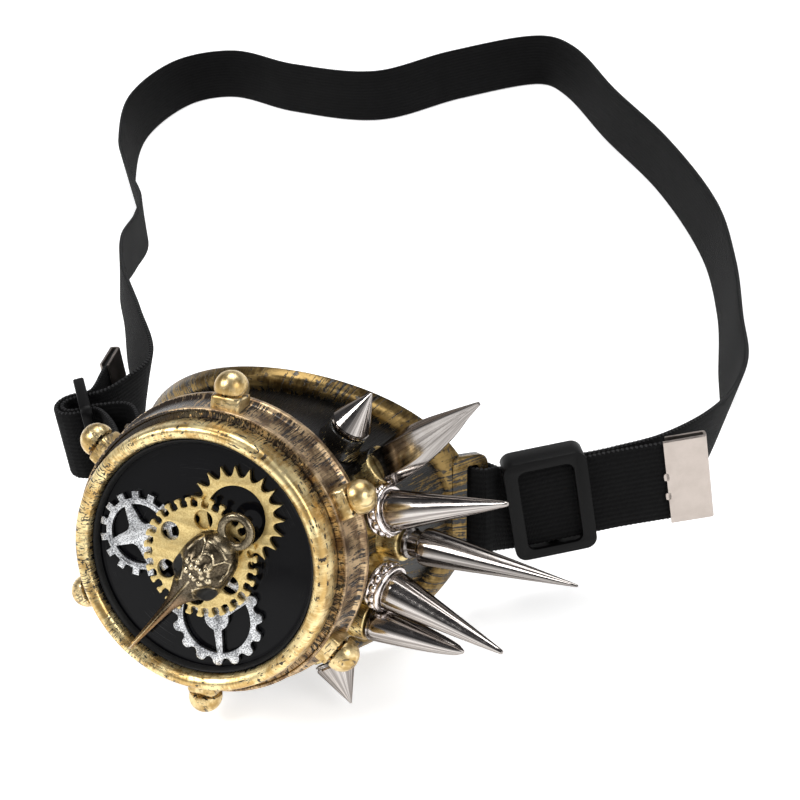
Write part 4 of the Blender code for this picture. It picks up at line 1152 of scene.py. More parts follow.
stud_shapes = {
    "spike_1_small": (0.0043, 0.0100, 0.0, 0.00028),
    "spike_3_long": (0.0043, 0.0290, 0.03, 0.00052),
    "spike_4_slender": (0.0040, 0.0400, 0.02, 0.00030, 0.0048),
    "spike_5_long": (0.0043, 0.0290, 0.03, 0.00050),
    "spike_6_bullet": (0.0039, 0.0215, 0.38, 0.00060),
    "spike_7_small": (0.0043, 0.0100, 0.0, 0.00028),
}
for name, shape in stud_shapes.items():
    plating = dull_chrome if "slender" in name else chrome
    stud = turned(name.replace("spike", "stud"), stud_section(*shape), 72, plating)
    keep_streaks(stud)
    dress(stud, plating, "cup", [name], seat_above(name, spike_base(name)), 32.0)

# %% Blade
blade_length = 0.0290
blade_half = 0.0047
blade_corners = [
    (0.00, (0.66, 0.44), (-0.54, 0.60), (-1.08, 0.36), (-0.97, -0.56), (0.70, -0.56)),
    (0.10, (0.70, 0.46), (-0.56, 0.60), (-1.06, 0.38), (-0.96, -0.56), (0.78, -0.56)),
    (0.30, (0.64, 0.44), (-0.60, 0.47), (-1.04, 0.31), (-0.90, -0.52), (0.82, -0.48)),
    (0.50, (0.52, 0.35), (-0.52, 0.30), (-0.88, 0.22), (-0.74, -0.39), (0.69, -0.39)),
    (0.70, (0.36, 0.26), (-0.35, 0.19), (-0.62, 0.13), (-0.51, -0.26), (0.46, -0.28)),
    (0.85, (0.21, 0.17), (-0.16, 0.12), (-0.33, 0.09), (-0.25, -0.17), (0.28, -0.17)),
    (0.98, (0.10, 0.09), (-0.04, 0.08), (-0.11, 0.06), (-0.10, -0.09), (0.11, -0.09)),
    (1.00, (0.05, 0.05), (-0.02, 0.05), (-0.06, 0.04), (-0.06, -0.05), (0.06, -0.05)),
]


def blade_ring(row, round_by=0.07, steps=4):
    """A ring with flat sides and small round corners; the corners are shares of the blade's half width."""
    corners = [Vector(row[index:index + 2]) for index in range(1, len(row), 2)]
    ring = []
    for before, corner, after in zip(corners[-1:] + corners, corners, corners[1:] + corners):
        start = corner.lerp(before, min(0.3, round_by / (before - corner).length))
        stop = corner.lerp(after, min(0.3, round_by / (after - corner).length))
        ring += [(*(place * blade_half), blade_length * row[0])
                 for place in corner_curve(start, corner, stop, steps)]
    return ring


blade_rows = flowing([(share, *[value for corner in corners for value in corner])
                      for share, *corners in blade_corners], 5)
blade = skin("stud_2_blade", [blade_ring(row) for row in blade_rows])
keep_streaks(blade)
dress(blade, dull_chrome, "cup", ["spike_2_blade"],
      seat_above("spike_2_blade", spike_base("spike_2_blade")), 24.0)

# %% [markdown]
# ## Beaded collars
#
# Under the two long studs sits a jeweller's spacer: a ring of silver beads between two thin rims. A
# tree sets a bead on each point of a circle and adds the rims, as curves swept by a small circle.

# %% Beads between two rims
def bead_tree():
    """A bead at each point of a circle, between two circles of wire."""
    tree, given, add, calc = new_tree("bead_ring", Beads="Int", Radius="Float", Bead_Size="Float",
                                      Rim_Radius="Float", Wire="Float", Rise="Float")
    circle = add("GeometryNodeMeshCircle", Vertices=given["Beads"], Radius=given["Radius"])
    bead = add("GeometryNodeMeshIcoSphere", Radius=given["Bead Size"], Subdivisions=3)
    path = add("GeometryNodeCurvePrimitiveCircle", Resolution=96, Radius=given["Rim Radius"])
    wire = add("GeometryNodeCurvePrimitiveCircle", Resolution=16, Radius=given["Wire"])
    both = tree.nodes.new("GeometryNodeJoinGeometry")
    tree.links.new(add("GeometryNodeInstanceOnPoints", Points=circle, Instance=bead), both.inputs[0])
    for way in (-1.0, 1.0):
        rise = add("ShaderNodeCombineXYZ", i2=calc("MULTIPLY", given["Rise"], way))
        lifted = add("GeometryNodeTransform", Geometry=path, Translation=rise)
        tree.links.new(add("GeometryNodeCurveToMesh", Curve=lifted, Profile_Curve=wire), both.inputs[0])
    return close_tree(tree, given, both.outputs[0])


beads = bead_tree()
for number, name in ((3, "spike_3_long"), (5, "spike_5_long")):
    seed = bpy.data.meshes.new("collar_seed")
    collar = grow(f"bead_collar_{number}", seed, beads, beads=13, radius=0.00452, bead_size=0.00112,
                  rim_radius=0.00462, wire=0.00068, rise=0.00118, finish=collar_silver)
    seat = seat_above(name, boss_top(name) + seat_gap + collar_wire * 0.6)
    dress(collar, collar_silver, "cup", [f"collar_{number}"], seat, 80.0, weld=False)

# %% [markdown]
# ## Four gears
#
# The gears are stamped from sheet, so each is a flat outline with holes. A flat curve filled on both
# sides gives the face, and its small bevel gives the soft edge that catches the light. The spoked gear
# has a raised line round its rim.

# %% Outlines of gears
gear_thickness = 0.0009
plate_bevel = 0.00009
gear_shares = {
    "spoked_gear": (0.364, 0.308, -0.560, 0.140),
    "six_hole_gear": (0.508, 0.436, 0.008, 0.012),
    "sawtooth_ring": (0.420, 0.328, 0.320, 0.380),
    "sprocket": (0.412, 0.352, 0.120, -0.508),
}
first_layer = lens_front + seat_gap + gear_thickness / 2
second_layer = first_layer + gear_thickness + seat_gap


def tooth_outline(name, teeth, tooth_shares):
    """Each tooth repeats (share of the pitch, share from root to tip)."""
    tip, root = [bezel_inner * share for share in gear_shares[name][:2]]
    points = []
    for tooth in range(teeth):
        for along, rise in tooth_shares:
            turn = (tooth + along) * 2 * math.pi / teeth
            points.append(polar(root + (tip - root) * rise, turn))
    return points


def window(outer_reach, inner_reach, middle, outer_half, inner_half, steps=20):
    """A window between two arcs; the inner reach may be a function of the share across it."""
    outside = []
    inside = []
    for step in range(steps + 1):
        share = 2 * step / steps - 1
        turn = middle + share * outer_half
        outside.append(polar(outer_reach, turn))
        reach = inner_reach(share) if callable(inner_reach) else inner_reach
        turn = middle + share * inner_half
        if not callable(inner_reach) or abs(share) < 1:
            inside.append(polar(reach, turn))
    return outside + inside[::-1]


def disc(radius, centre=(0.0, 0.0), count=40):
    """An outline of a circle."""
    places = [polar(radius, 2 * math.pi * step / count) for step in range(count)]
    return [(centre[0] + x, centre[1] + y) for x, y in places]


def flat_piece(name, loops, thickness, edge):
    """A flat plate from closed outlines with a small bevel all round."""
    curve = bpy.data.curves.new(name, "CURVE")
    curve.dimensions = "2D"
    curve.fill_mode = "BOTH"
    curve.extrude = thickness / 2 - edge
    curve.bevel_depth = edge
    curve.bevel_resolution = 1
    curve.offset = -edge
    for loop in loops:
        line = curve.splines.new("POLY")
        line.points.add(len(loop) - 1)
        for point, (x, y) in zip(line.points, loop):
            point.co = (x, y, 0.0, 1.0)
        line.use_cyclic_u = True
    return exchange(link_new(name + "_curve", curve), name)


print("gear reaches in mm:", {name: round(bezel_inner * shares[0] * 1000, 1)
                              for name, shares in gear_shares.items()})

# %% Gears
def place_gear(name, loops, level, finish, turn, extra=()):
    """A gear cut from sheet, set at its place over the lens."""
    plate = flat_piece(name + "_plate", loops, gear_thickness, plate_bevel)
    if extra:
        plate = join(name + "_plate", [plate] + list(extra))
    x, y = [bezel_inner * share for share in gear_shares[name][2:]]
    seat = goggle @ Matrix.Translation((x, y, level)) @ Matrix.Rotation(math.radians(turn), 4, "Z")
    dress(plate, finish, "lens_pack", [name], seat, 30.0)


quarter = math.pi / 2
third = 2 * math.pi / 3
rim = bezel_inner * 0.256
windows = [window(rim, lambda share: rim - rim * 0.58 * (1 - abs(share) ** 3), (index + 0.5) * quarter,
                  quarter * 0.42, quarter * 0.42) for index in range(4)]
line_foot = gear_thickness / 2
raised_line = turned("line", [(0.00695, 0.0), (0.00705, line_foot + 0.00012), (0.00720, line_foot + 0.00016),
                              (0.00735, line_foot + 0.00012), (0.00745, 0.0)], 90, grainy_silver)
teeth = tooth_outline("spoked_gear", 15, ((-0.24, 0.0), (-0.2, 1.0), (0.2, 1.0), (0.24, 0.0)))
place_gear("spoked_gear", [teeth] + windows, first_layer, grainy_silver, 22.0,
           [raised_line])

ring_reach = bezel_inner * 0.328
holes = [disc(bezel_inner * 0.082, polar(ring_reach, (index + 0.5) * math.pi / 3)) for index in range(6)]
teeth = tooth_outline("six_hole_gear", 30, ((-0.17, 0.0), (-0.17, 0.5), (-0.27, 0.72), (-0.24, 0.94),
                                            (-0.14, 1.0), (0.14, 1.0), (0.24, 0.94), (0.27, 0.72),
                                            (0.17, 0.5), (0.17, 0.0), (0.5, -0.15)))
place_gear("six_hole_gear", [teeth] + holes, second_layer, pale_brass, -7.7)

teeth = tooth_outline("sawtooth_ring", 20, ((0.0, 1.0), (0.07, 0.72), (0.13, 0.48), (0.20, 0.26),
                                            (0.28, 0.12), (0.38, 0.03), (0.5, 0.0), (0.62, 0.03),
                                            (0.72, 0.12), (0.80, 0.26), (0.87, 0.48), (0.93, 0.72)))
place_gear("sawtooth_ring", [teeth, disc(rim, count=72)], first_layer, pale_brass, 0.0)

windows = [window(bezel_inner * 0.304, bezel_inner * 0.108, (index + 0.54) * third, third * 0.46,
                  third * 0.34) for index in range(3)]
teeth = tooth_outline("sprocket", 15, ((-0.34, 0.15), (-0.29, 0.35), (-0.25, 0.62), (-0.18, 0.88),
                                       (-0.08, 1.0), (0.08, 1.0), (0.18, 0.88), (0.25, 0.62),
                                       (0.29, 0.35), (0.34, 0.15), (0.42, 0.03), (0.5, 0.0),
                                       (0.58, 0.03)))
place_gear("sprocket", [teeth] + windows, first_layer, grainy_silver, -90.0)

# %% [markdown]
# ## Bird skull charm
#
# The charm is a small bronze casting: a long thin beak with a sharp ridge, two large openings where
# the beak meets the head, a knobbly brow, two shallow leaf-shaped hollows and a ring behind the crown.
# Its relief is a height above a flat back, so it is made as a fine grid whose heights are a sum of
# smooth bumps and dents. Vertices that stand above their neighbours are stored as worn. The two
# openings are painted near-black: painted shade, for the shade that falls into them.

# %% Relief of the skull
skull_tip = (bezel_inner * -0.620, bezel_inner * -0.816, second_layer + gear_thickness / 2 + seat_gap)
skull_frame = Matrix.Translation(skull_tip) @ Matrix.Rotation(math.radians(48.2), 4, "Z")
outline_stages = flowing([
    (0.0, 0.36, 1.5, 0.7), (5.0, 0.60, 1.3, 0.9), (10.0, 0.92, 0.8, 1.4), (13.5, 1.28, 0.35, 1.9),
    (16.4, 2.1, 0.1, 2.3), (18.6, 3.2, 0.0, 2.6), (19.7, 4.2, 0.0, 2.8), (20.5, 5.2, 0.0, 3.0),
    (22.0, 5.7, 0.0, 3.3), (24.5, 5.8, 0.0, 4.1), (28.0, 5.8, 0.0, 5.1), (31.5, 5.1, 0.0, 5.2),
    (33.9, 3.4, 0.0, 4.3), (35.0, 1.9, 0.0, 2.4)], 22)


def bump_at(x, y, middle, radii, turn=0.0):
    """One at the middle of a turned oval, falling smoothly to nothing outside it."""
    dx = x - middle[0]
    dy = y - middle[1]
    along = dx * math.cos(turn) + dy * math.sin(turn)
    across = dy * math.cos(turn) - dx * math.sin(turn)
    return math.exp(-((along / radii[0]) ** 2 + (across / radii[1]) ** 2) ** 1.5)


def line_at(x, y, spots, width):
    """A raised line through a row of places."""
    nearest = 1.0
    for first, second in zip(spots, spots[1:]):
        run_x = second[0] - first[0]
        run_y = second[1] - first[1]
        share = held(((x - first[0]) * run_x + (y - first[1]) * run_y) / (run_x ** 2 + run_y ** 2))
        nearest = min(nearest, math.hypot(x - first[0] - run_x * share, y - first[1] - run_y * share))
    return hill(nearest, 0.0, width)


skull_lines = [
    (0.36, 0.20, ((19.9, 4.9), (20.1, 3.1), (21.0, 1.9), (21.7, 1.8), (23.4, 2.9), (25.0, 4.7))),
    (0.34, 0.18, ((27.3, 2.3), (28.6, 1.6), (30.4, 1.7), (32.2, 2.7), (32.3, 3.9), (30.4, 4.5), (28.0, 4.7))),
    (0.42, 0.22, ((30.4, 1.6), (31.3, 0.9), (31.7, 0.0))),
    (0.26, 0.20, ((33.7, 0.0), (33.5, 1.4), (32.9, 2.6))),
]
skull_knobs = [(24.2, 2.0, 0.75), (24.2, 0.45, 0.60), (26.3, 3.0, 0.75), (27.0, 0.55, 0.65),
               (26.0, 1.5, 0.70), (28.2, 1.2, 0.45)]
skull_opening = ((22.1, 4.10), (2.7, 1.55), 0.30)


def skull_relief(x, y, full):
    """Bumps and dents in millimetres, at a reach from the tip and a distance from the midline."""
    side = abs(y)
    relief = 0.42 * hill(y, 0.0, 0.24) * held(22.8 - x) * min(1.0, x / 3.0)
    relief -= min(2.6, full * 0.78) * bump_at(x, side, *skull_opening)
    relief -= 0.95 * bump_at(x, side, (29.7, 3.2), (2.4, 1.35), 0.18)
    relief -= 0.70 * bump_at(x, side, (29.7, 0.0), (1.3, 1.0))
    for height, width, spots in skull_lines:
        relief += height * line_at(x, side, spots, width)
    for middle, off, radius in skull_knobs:
        relief += 0.58 * bump_at(x, side, (middle, off), (radius, radius * 0.9))
    return relief + 0.07 * noise.noise(Vector((x * 0.9, y * 0.9, 3.0))) * held((x - 21.0) / 4.0)


print("skull rings:", len(outline_stages), "over", outline_stages[-1][0], "mm")

# %% Skull
columns = 83
foot_columns = 8
beak_end = 21.5


def skull_rings():
    """Rings of points in metres: the relief on top, and a flat foot."""
    rings = []
    for reach, half, base, full in outline_stages:
        ring = []
        for step in range(columns):
            share = math.sin((step / (columns - 1) - 0.5) * math.pi)
            dome = 0.25 + 0.75 * max(0.0, 1 - abs(share) ** 2.3) ** 0.55
            if reach < beak_end:
                tent = 0.25 + 0.75 * (1 - abs(share)) ** 0.9
                blend = held((beak_end - reach) / 2.5)
                dome = dome * (1 - blend) + tent * blend
            height = full * dome + skull_relief(reach, half * share, full) * min(1.0, full / 2.0)
            ring.append((reach / 1000, half * share / 1000, (base + max(0.15, height)) / 1000))
        for step in range(foot_columns):
            ring.append((reach / 1000, half * 0.8 * (1 - 2 * step / (foot_columns - 1)) / 1000, base / 1000))
        rings.append(ring)
    return rings


skull = skin("bird_skull", skull_rings())
print("skull relief:", len(skull.data.polygons), "faces")

bail_radius = 0.00310
bail_wire = 0.00092
bail_reach = 0.0373
bail = turned("bail", disc(bail_wire, (bail_radius, 0.0), 16), 80, dark_bronze)
bail.matrix_world = Matrix.Translation((bail_reach, 0.0, 0.0015))
skull = join("bird_skull", [skull, bail])


def wear_of(mesh, full_wear_and_sheen):
    """How far each vertex stands above the mean of its neighbours, from 0 to 1."""
    total = [Vector() for _ in mesh.vertices]
    count = [0] * len(mesh.vertices)
    pairs = []
    for edge in mesh.edges:
        one, other = edge.vertices
        pairs += [(one, other), (other, one)]
    for one, other in pairs:
        total[one] += mesh.vertices[other].co
        count[one] += 1
    values = [held((vertex.co - mean / max(1, near)).dot(vertex.normal) / full_wear_and_sheen)
              for vertex, mean, near in zip(mesh.vertices, total, count)]
    smooth = list(values)
    for one, other in pairs:
        smooth[one] = max(smooth[one], values[other] * 0.7)
    return smooth


def skull_layers(place, normal, worn):
    """Wear (on the bail, a painted sheen), painted shade in the openings, and the beak's lighter tone
    with painted light on one flank, at a place in millimetres in the skull's frame.
    """
    x, y, z = place
    # On the bail the stored wear is a painted sheen: lighter where its faces turn right, darker on the left.
    if math.hypot(x - bail_reach * 1000, y) < 4.2 and x > 33.0:
        return 0.56 + 0.10 * normal.x, 0.0, 0.0
    depth = bump_at(x, abs(y), *skull_opening)
    # The share of painted shade, full deep inside the openings; worn shine is taken out there.
    shade_share = held((depth - 0.30) / 0.25)
    lip = hill(depth, 0.16, 0.08) * (z > 0.8) * (abs(y) < 5.2)
    ridge = hill(y, 0.0, 0.30) * (x < 22.6) * (z > 1.0)
    # Full lighter tone on the flank at negative y, under half on the other: painted light on one side.
    beak = held((18.5 - x) / 4.0) * (1.0 if y < 0.0 else 0.45)
    return max(worn * (1 - shade_share), 0.9 * ridge, 0.85 * lip), shade_share, beak


dress(skull, dark_bronze, "lens_pack", ["bird_skull_charm"], goggle @ skull_frame, 55.0)
worn_values = wear_of(skull.data, 0.000015)
layers = [skull.data.attributes.new(name, "FLOAT", "POINT") for name in ("wear_and_sheen", "painted_shade", "beak")]
back_to_skull = (goggle @ skull_frame).inverted()
for vertex, worn in zip(skull.data.vertices, worn_values):
    values = skull_layers(back_to_skull @ vertex.co * 1000, vertex.normal, worn)
    for layer, value in zip(layers, values):
        layer.data[vertex.index].value = value

# %% [markdown]
# ## Strap
#
# The strap is woven elastic, 20 mm wide: one long loop and two short ends that fold back through the
# lugs and sliders. A smooth line runs through a list of stations; at every step the band's section is
# laid across it. The band is modelled directly, because cloth simulation would lose its edges. Its UV
# map holds metres along and across, for the weave.

# %% Route sizes
strap_width = 0.0200
strap_thickness = 0.0012
layer_gap = 0.0004
half_strap = strap_width / 2
layer_offset = (strap_thickness + layer_gap) / 2
pack_thickness = strap_thickness * 2 + layer_gap
loop_width = 0.2600
loop_depth = 0.3300
slider_length = 0.0188
slider_height = 0.0252
slider_bar = 0.0030
window_width = (slider_length - slider_bar * 3) / 2
window_reach = (slider_bar + window_width) / 2
right_entry = 0.0098
right_slider_reach = 0.0182
right_straight = 0.0340
right_tail = 0.0540
right_tail_spread = 0.0014
left_tail = 0.0200
slot_drop = 0.0022
bend_reach = 0.0024
floor_gap = 0.0002
left_slider_shift = Vector((-0.02259, 0.01870, -0.0020))
right_end_shift = Vector((0.00813, 0.00824, 0.0))
left_end_shift = Vector((0.00522, 0.00873, 0.0))
upright_goggle = (Matrix.Translation((0.0, 0.0, goggle_lift))
                  @ Matrix.Rotation(math.pi / 2 - goggle_tilt, 4, "X"))
loop_route = (
    (0.310, 0.070, 0.93, -5.0), (0.339, 0.113, 0.80, -11.0), (0.348, 0.165, 0.50, -17.0),
    (0.350, 0.230, 0.31, -19.0), (0.335, 0.305, 0.13, -17.0), (0.312, 0.416, 0.0, -13.0),
    (0.271, 0.533, 0.0, -12.0), (0.185, 0.678, 0.0, -9.0), (0.080, 0.815, 0.0, -11.0),
    (-0.020, 0.955, 0.0, -14.0), (-0.085, 0.992, 0.0, -14.0), (-0.200, 0.938, 0.0, -13.0),
    (-0.301, 0.866, 0.0, -10.0), (-0.452, 0.889, 0.0, -10.0), (-0.585, 0.938, 0.0, -13.0),
    (-0.660, 0.905, 0.0, -10.0), (-0.670, 0.790, 0.0, -7.0), (-0.605, 0.655, 0.0, -5.0),
    (-0.535, 0.565, 0.05, -2.0), (-0.465, 0.480, 0.25, 4.0), (-0.422, 0.400, 0.62, 12.0),
    (-0.383, 0.320, 1.02, 12.0), (-0.325, 0.240, 1.25, 9.0), (-0.268, 0.170, 1.28, 18.0),
    (-0.222, 0.115, 1.10, 18.0), (-0.228, 0.082, 1.00, 10.0),
)
print("stations of the loop:", len(loop_route))

# %% Frames along the strap
def slot_centre(side):
    """The middle of a lug's slot, 1 for the right side and -1 for the left."""
    return upright_goggle @ lug_frame(side) @ Vector((-lug_bar - slot_width / 2, 0.0, 0.0))


def right_frame(reach, layer=0, spread=0.0):
    """A frame on the right stretch: X along it, Y up across it, Z out of its front face."""
    heading, climb, lean = [math.radians(angle) for angle in (24.6, 3.0, 5.0)]
    flat = Vector((*polar(1.0, heading), 0.0))
    rear = Vector((-flat.y, flat.x, 0.0))
    along = flat * math.cos(climb) + Vector((0.0, 0.0, math.sin(climb)))
    lifted = Vector((0.0, 0.0, math.cos(climb))) - flat * math.sin(climb)
    up = lifted * math.cos(lean) + rear * math.sin(lean)
    out = along.cross(up)
    start = slot_centre(1) - Vector((0.0, 0.0, slot_drop))
    middle = start + along * reach - out * (layer * layer_offset) + out * spread
    return frame_at(middle, along, up, out)


def frame_station(place):
    """A station at a frame's origin, with its Y axis across the strap."""
    return place.translation.copy(), place.to_3x3() @ Vector((0.0, 1.0, 0.0))


def left_slider_frame():
    """A level frame at the left slider, its X axis through both windows."""
    turn = math.radians(35.0) + math.pi / 2
    return Matrix.Translation(slot_centre(-1) + left_slider_shift) @ Matrix.Rotation(turn, 4, "Z")


print("lug to left slider:", round((slot_centre(-1) - left_slider_frame().translation).length, 4), "m")

# %% Stations of each stretch
def left_bend(layer):
    """Stations round the left slider's middle bar, from the loop's side to the lug's side."""
    place = left_slider_frame()
    radius = window_reach + layer * layer_offset
    half_turn = [polar(radius, math.pi * step / 8) for step in range(9)]
    spots = [(along, bend_reach + round_bar) for along, round_bar in half_turn]
    spots = [(radius, -bend_reach)] + spots + [(-radius, -bend_reach)]
    return [(place @ Vector((*spot, 0.0)), 0.0) for spot in spots]


def lug_station(side, along, front):
    """A station in a lug's frame, with the strap upright across it."""
    place = upright_goggle @ lug_frame(side)
    return place @ Vector((along, 0.0, front)), place.to_3x3() @ Vector((0.0, side, 0.0))


lug_clear = (lug_thickness + strap_thickness) / 2 + seat_gap * 2


def fold_stations(side):
    """Stations of a short end from a slot round to the lug's front."""
    slot = -lug_bar - slot_width / 2
    return [lug_station(side, slot, -lug_thickness / 4), lug_station(side, slot, lug_thickness / 4),
            lug_station(side, slot / 2, lug_clear * 1.30), lug_station(side, lug_bar / 4, lug_clear)]


def back_stations(side):
    """Stations of the loop behind a lug."""
    return [lug_station(side, -lug_bar - slot_width, -lug_clear), lug_station(side, 0.0, -lug_clear)]


def left_bow_station(layer):
    """A station half way from the left slider to the lug, bowed back."""
    middle = (left_bend(layer)[-1][0] + lug_station(-1, 0.0, layer * lug_clear)[0]) / 2
    return (middle + Vector((0.0, 0.0046 - layer * 0.0028, 0.0)), 4.0)


def loop_stations():
    """Stations of the loop; a shift keeps both ends at the sliders."""
    base = slot_centre(1)
    plain = [Vector((loop_width * wide, base.y + loop_depth * deep, 0.0)) for wide, deep, _, _ in loop_route]
    right_end = right_frame(right_straight, 1).translation + right_end_shift
    left_end = left_slider_frame().translation + left_end_shift
    stations = []
    for index, (_, _, lift, lean) in enumerate(loop_route):
        shift = (right_end - plain[0]).lerp(left_end - plain[-1], index / (len(plain) - 1))
        tilt = abs(math.radians(lean))
        low = half_strap * math.cos(tilt) + strap_thickness / 2 * math.sin(tilt) + floor_gap
        stations.append((Vector((plain[index].x + shift.x, plain[index].y + shift.y,
                                 low + (base.z - low) * lift)), lean))
    return stations


def right_stretch(layer):
    """Stations of the straight stretch at the right."""
    return [frame_station(right_frame(reach, layer)) for reach in
            (right_entry, right_slider_reach, (right_slider_reach + right_straight) / 2, right_straight)]


def left_tail_place(reach):
    """A place on the left short end, at a reach beyond the slider's bar."""
    return left_bend(1)[0][0] + Vector((*polar(1.0, math.radians(99.0)), 0.0)) * reach


print("left bend:", len(left_bend(1)), "stations")

# %% Smooth route through stations
def width_vector(station, before, after):
    """The direction across the strap, from its lean or given as it is."""
    if isinstance(station[1], Vector):
        return station[1]
    heading = Vector((after.x - before.x, after.y - before.y, 0.0)).normalized()
    tilt = math.radians(station[1])
    return Vector((0.0, 0.0, math.cos(tilt))) + Vector((-heading.y, heading.x, 0.0)) * math.sin(tilt)


def smooth_route(stations, step_length):
    """Middles and width directions at even steps of a curve through the stations."""
    places = [station[0] for station in stations]
    last = len(places) - 1
    widths = [width_vector(station, places[max(index - 1, 0)], places[min(index + 1, last)])
              for index, station in enumerate(stations)]
    knots = [0.0]
    for first, second in zip(places, places[1:]):
        knots.append(knots[-1] + math.sqrt((second - first).length))

    def between(values, index, time):
        low = max(index - 1, 0)
        high = min(index + 2, last)
        span = knots[index + 1] - knots[index]
        start = (values[index + 1] - values[low]) * (span / (knots[index + 1] - knots[low]))
        finish = (values[high] - values[index]) * (span / (knots[high] - knots[index]))
        step = values[index + 1] - values[index]
        return ((start + finish - step * 2) * time ** 3 + (step * 3 - start * 2 - finish) * time ** 2
                + start * time + values[index])

    route = []
    for index in range(last):
        pieces = max(1, round((places[index + 1] - places[index]).length / step_length))
        for piece in range(pieces):
            share = piece / pieces
            route.append((between(places, index, share), between(widths, index, share)))
    route.append((places[-1], widths[-1]))
    return route


print("route rule ready")

# %% Webbing band
selvedge_inset = 0.00036


def band(name, stations, nodes, step_length=0.0014):
    """A woven band along a route, and the lines that its two edges follow."""
    route = smooth_route(stations, step_length)
    section = []
    for side in (1, -1):
        for share in (-1.0, -0.97, -0.6, -0.2, 0.2, 0.6, 0.97, 1.0):
            crown = 0.62 if abs(share) == 1.0 else 1.0
            section.append((share * side, side * strap_thickness / 2 * crown))
    rings = []
    edges = ([], [])
    lengths = []
    run = 0.0
    for index, (middle, width) in enumerate(route):
        ahead = route[min(index + 1, len(route) - 1)][0] - route[max(index - 1, 0)][0]
        face = width.cross(ahead).normalized()
        up = ahead.cross(face).normalized()
        if index:
            run += (middle - route[index - 1][0]).length
        lengths.append(run)
        rings.append([middle + up * half_strap * across * 0.985 + face * out for across, out in section])
        for side, edge in zip((1, -1), edges):
            edge.append(middle + up * (half_strap - selvedge_inset) * side)
    strip = skin(name, rings)
    woven = strip.data.uv_layers.new(name="woven")
    for loop in strip.data.loops:
        row, column = divmod(loop.vertex_index, len(section))
        woven.data[loop.index].uv = (lengths[row], section[column][0] * half_strap)
    dress(strip, webbing, "cup", nodes, stand, 50.0, weld=False)
    clean(strip.data, weld=False)
    print(name, "is", round(run * 1000), "mm long")
    return edges


tail_end = right_frame(right_tail, -1, right_tail_spread)
routes = {
    "webbing_loop": (back_stations(1) + right_stretch(1) + loop_stations() + left_bend(-1)
                     + [left_bow_station(-1)] + back_stations(-1)[::-1], ["strap_loop"]),
    "webbing_right": (fold_stations(1) + right_stretch(-1) + [frame_station(tail_end)],
                      ["strap_end_right"]),
    "webbing_left": ([(left_tail_place(left_tail), 0.0), (left_tail_place(left_tail / 2), 0.0)]
                     + left_bend(1) + [left_bow_station(1)] + fold_stations(-1)[::-1],
                     ["strap_end_left"]),
}
edge_lines = []
for name, (stations, nodes) in routes.items():
    edge_lines += band(name, stations, nodes)

# %% [markdown]
# ## Selvedge
#
# Elastic webbing has tiny loops of thread along both edges, about one each millimetre. A tree sets a
# small oval bead on every point of the edge lines and turns it along the line. The beads' colour is
# raised far above the band's: a painted highlight on the loops.

# %% Loops along the edges
def selvedge_tree():
    """Oval beads at an even pitch along every line."""
    tree, given, add, _ = new_tree("selvedge", Pitch="Float", Bead_Size="Float")
    curves = add("GeometryNodeMeshToCurve", Mesh=given["Geometry"])
    spots = add("GeometryNodeCurveToPoints", "Points", settings={"mode": "LENGTH"}, Curve=curves,
                Length=given["Pitch"])
    bead = add("GeometryNodeMeshIcoSphere", Radius=given["Bead Size"], Subdivisions=1)
    stretched = add("GeometryNodeTransform", Geometry=bead, Scale=(1.0, 0.9, 0.8))
    return close_tree(tree, given, add("GeometryNodeInstanceOnPoints", Points=spots, Instance=stretched,
                                       Rotation=spots.node.outputs["Rotation"]))


points = []
edges = []
for line in edge_lines:
    start = len(points)
    points += [stand @ point for point in line]
    edges += [(start + index, start + index + 1) for index in range(len(line) - 1)]
seed = bpy.data.meshes.new("edge_lines")
seed.from_pydata(points, edges, [])
selvedge = grow("selvedge_loops", seed, selvedge_tree(), pitch=0.00105, bead_size=0.00058,
                finish=selvedge_highlight)
selvedge.data.uv_layers.new(name="woven")
dress(selvedge, selvedge_highlight, "cup", [], angle=80.0, weld=False)

# %% [markdown]
# ## Sliders
#
# Both sliders are the same moulded frame with a middle bar. The right one shows its front: one large
# rounded window over the strap. The left one stands across the strap, which turns round its bar.

# %% Right slider
slider_plate = 0.0013
tunnel_height = strap_width + 0.0012
tunnel_depth = pack_thickness + 2 * seat_gap
slider_depth = tunnel_depth + 2 * slider_plate


def slider(name, depth, softness, cuts):
    """A moulded frame with windows cut through it, its edges softened."""
    frame_made = rounded_block(name, (slider_length, slider_height, depth), (0.0, 0.0, 0.0), 0.0026, 8)
    for size, centre, corner, steps in cuts:
        cut(frame_made, rounded_block("cutter", size, centre, corner, steps))
    step = frame_made.modifiers.new("edges", "BEVEL")
    step.width = softness
    step.segments = 2
    step.limit_method = "ANGLE"
    step.angle_limit = math.radians(40.0)
    settle(frame_made)
    return frame_made


through = slider_length + 0.004
past = slider_plate + 0.002
beside = (through - slider_bar) / 2
cuts = [((through, tunnel_height, tunnel_depth), (0.0, 0.0, 0.0), 0.0002, 6),
        ((slider_length - 2 * slider_bar, tunnel_height - 0.0006, past),
         (0.0, 0.0, (tunnel_depth + past) / 2 - 0.0005), 0.0019, 6)]
cuts += [((beside, tunnel_height, past),
          (side * (slider_bar + beside) / 2, 0.0, 0.0005 - (tunnel_depth + past) / 2), 0.0006, 6)
         for side in (1, -1)]
dress(slider("slider_right_frame", slider_depth, 0.00035, cuts), slider_black, "adjuster_right",
      ["slider_right"], stand @ right_frame(right_slider_reach))

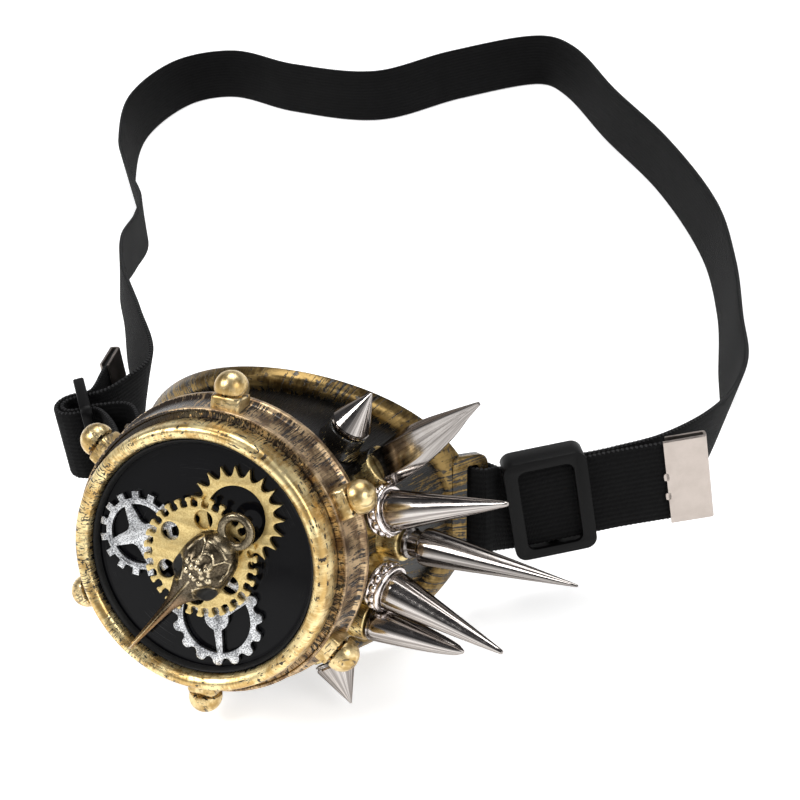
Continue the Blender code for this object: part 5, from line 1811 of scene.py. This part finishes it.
# %% Left slider
cuts = [((window_width, tunnel_height, 0.006), (side * window_reach, 0.0, 0.0), 0.0008, 5)
        for side in (-1, 1)]
dress(slider("slider_left_frame", 0.0028, 0.00045, cuts), slider_black, "adjuster_left",
      ["slider_left"], stand @ left_slider_frame() @ Matrix.Rotation(math.pi / 2, 4, "X"))

# %% [markdown]
# ## End clips
#
# A folded sheet of nickel closes each end of the strap: a bend at the nose and two flat sides. Two
# small teeth stand out of the front side's open edge.

# %% Clips
clip_length = 0.0098
clip_sheet = 0.0005


def tail_frame(end, before, width):
    """A frame at a tail's end, X out of the tail and Y across it."""
    along = (end - before).normalized()
    out = along.cross(width).normalized()
    return frame_at(end, along, out.cross(along), out)


def clip(name, node, place):
    """A folded sheet with two teeth, in the frame of a tail's end."""
    outer = strap_thickness / 2 + seat_gap + clip_sheet
    inner = outer - clip_sheet
    nose = seat_gap + clip_sheet
    back = nose - clip_length
    profile = [(back, outer), (nose - 0.0004, outer), (nose - 0.0001, outer * 0.75), (nose, outer * 0.3),
               (nose, -outer * 0.3), (nose - 0.0001, -outer * 0.75), (nose - 0.0004, -outer),
               (back + 0.0008, -outer), (back + 0.0008, -inner), (seat_gap - 0.0001, -inner * 0.8),
               (seat_gap, 0.0), (seat_gap - 0.0001, inner * 0.8), (back, inner)]
    half = strap_width / 2 + 0.0006
    rings = []
    for across in (-1.0, -0.985, 0.985, 1.0):
        pull = 0.00012 if abs(across) == 1.0 else 0.0
        rings.append([(x, half * across, z - math.copysign(pull, z)) for x, z in profile])
    teeth = [rounded_block("tooth", (0.0012, 0.0018, clip_sheet), (back, across, outer - clip_sheet / 2),
                           0.0004, 4) for across in (-0.0034, 0.0016)]
    dress(join(name, [skin(name, rings)] + teeth), nickel_sheet, "cup", [node],
          stand @ place, 30.0)


end, width = frame_station(tail_end)
clip("end_clip_right", "clip_right", tail_frame(end, right_frame(right_straight, -1).translation, width))
clip("end_clip_left", "clip_left", tail_frame(left_tail_place(left_tail), left_tail_place(0.0),
                                              Vector((0.0, 0.0, 1.0))))
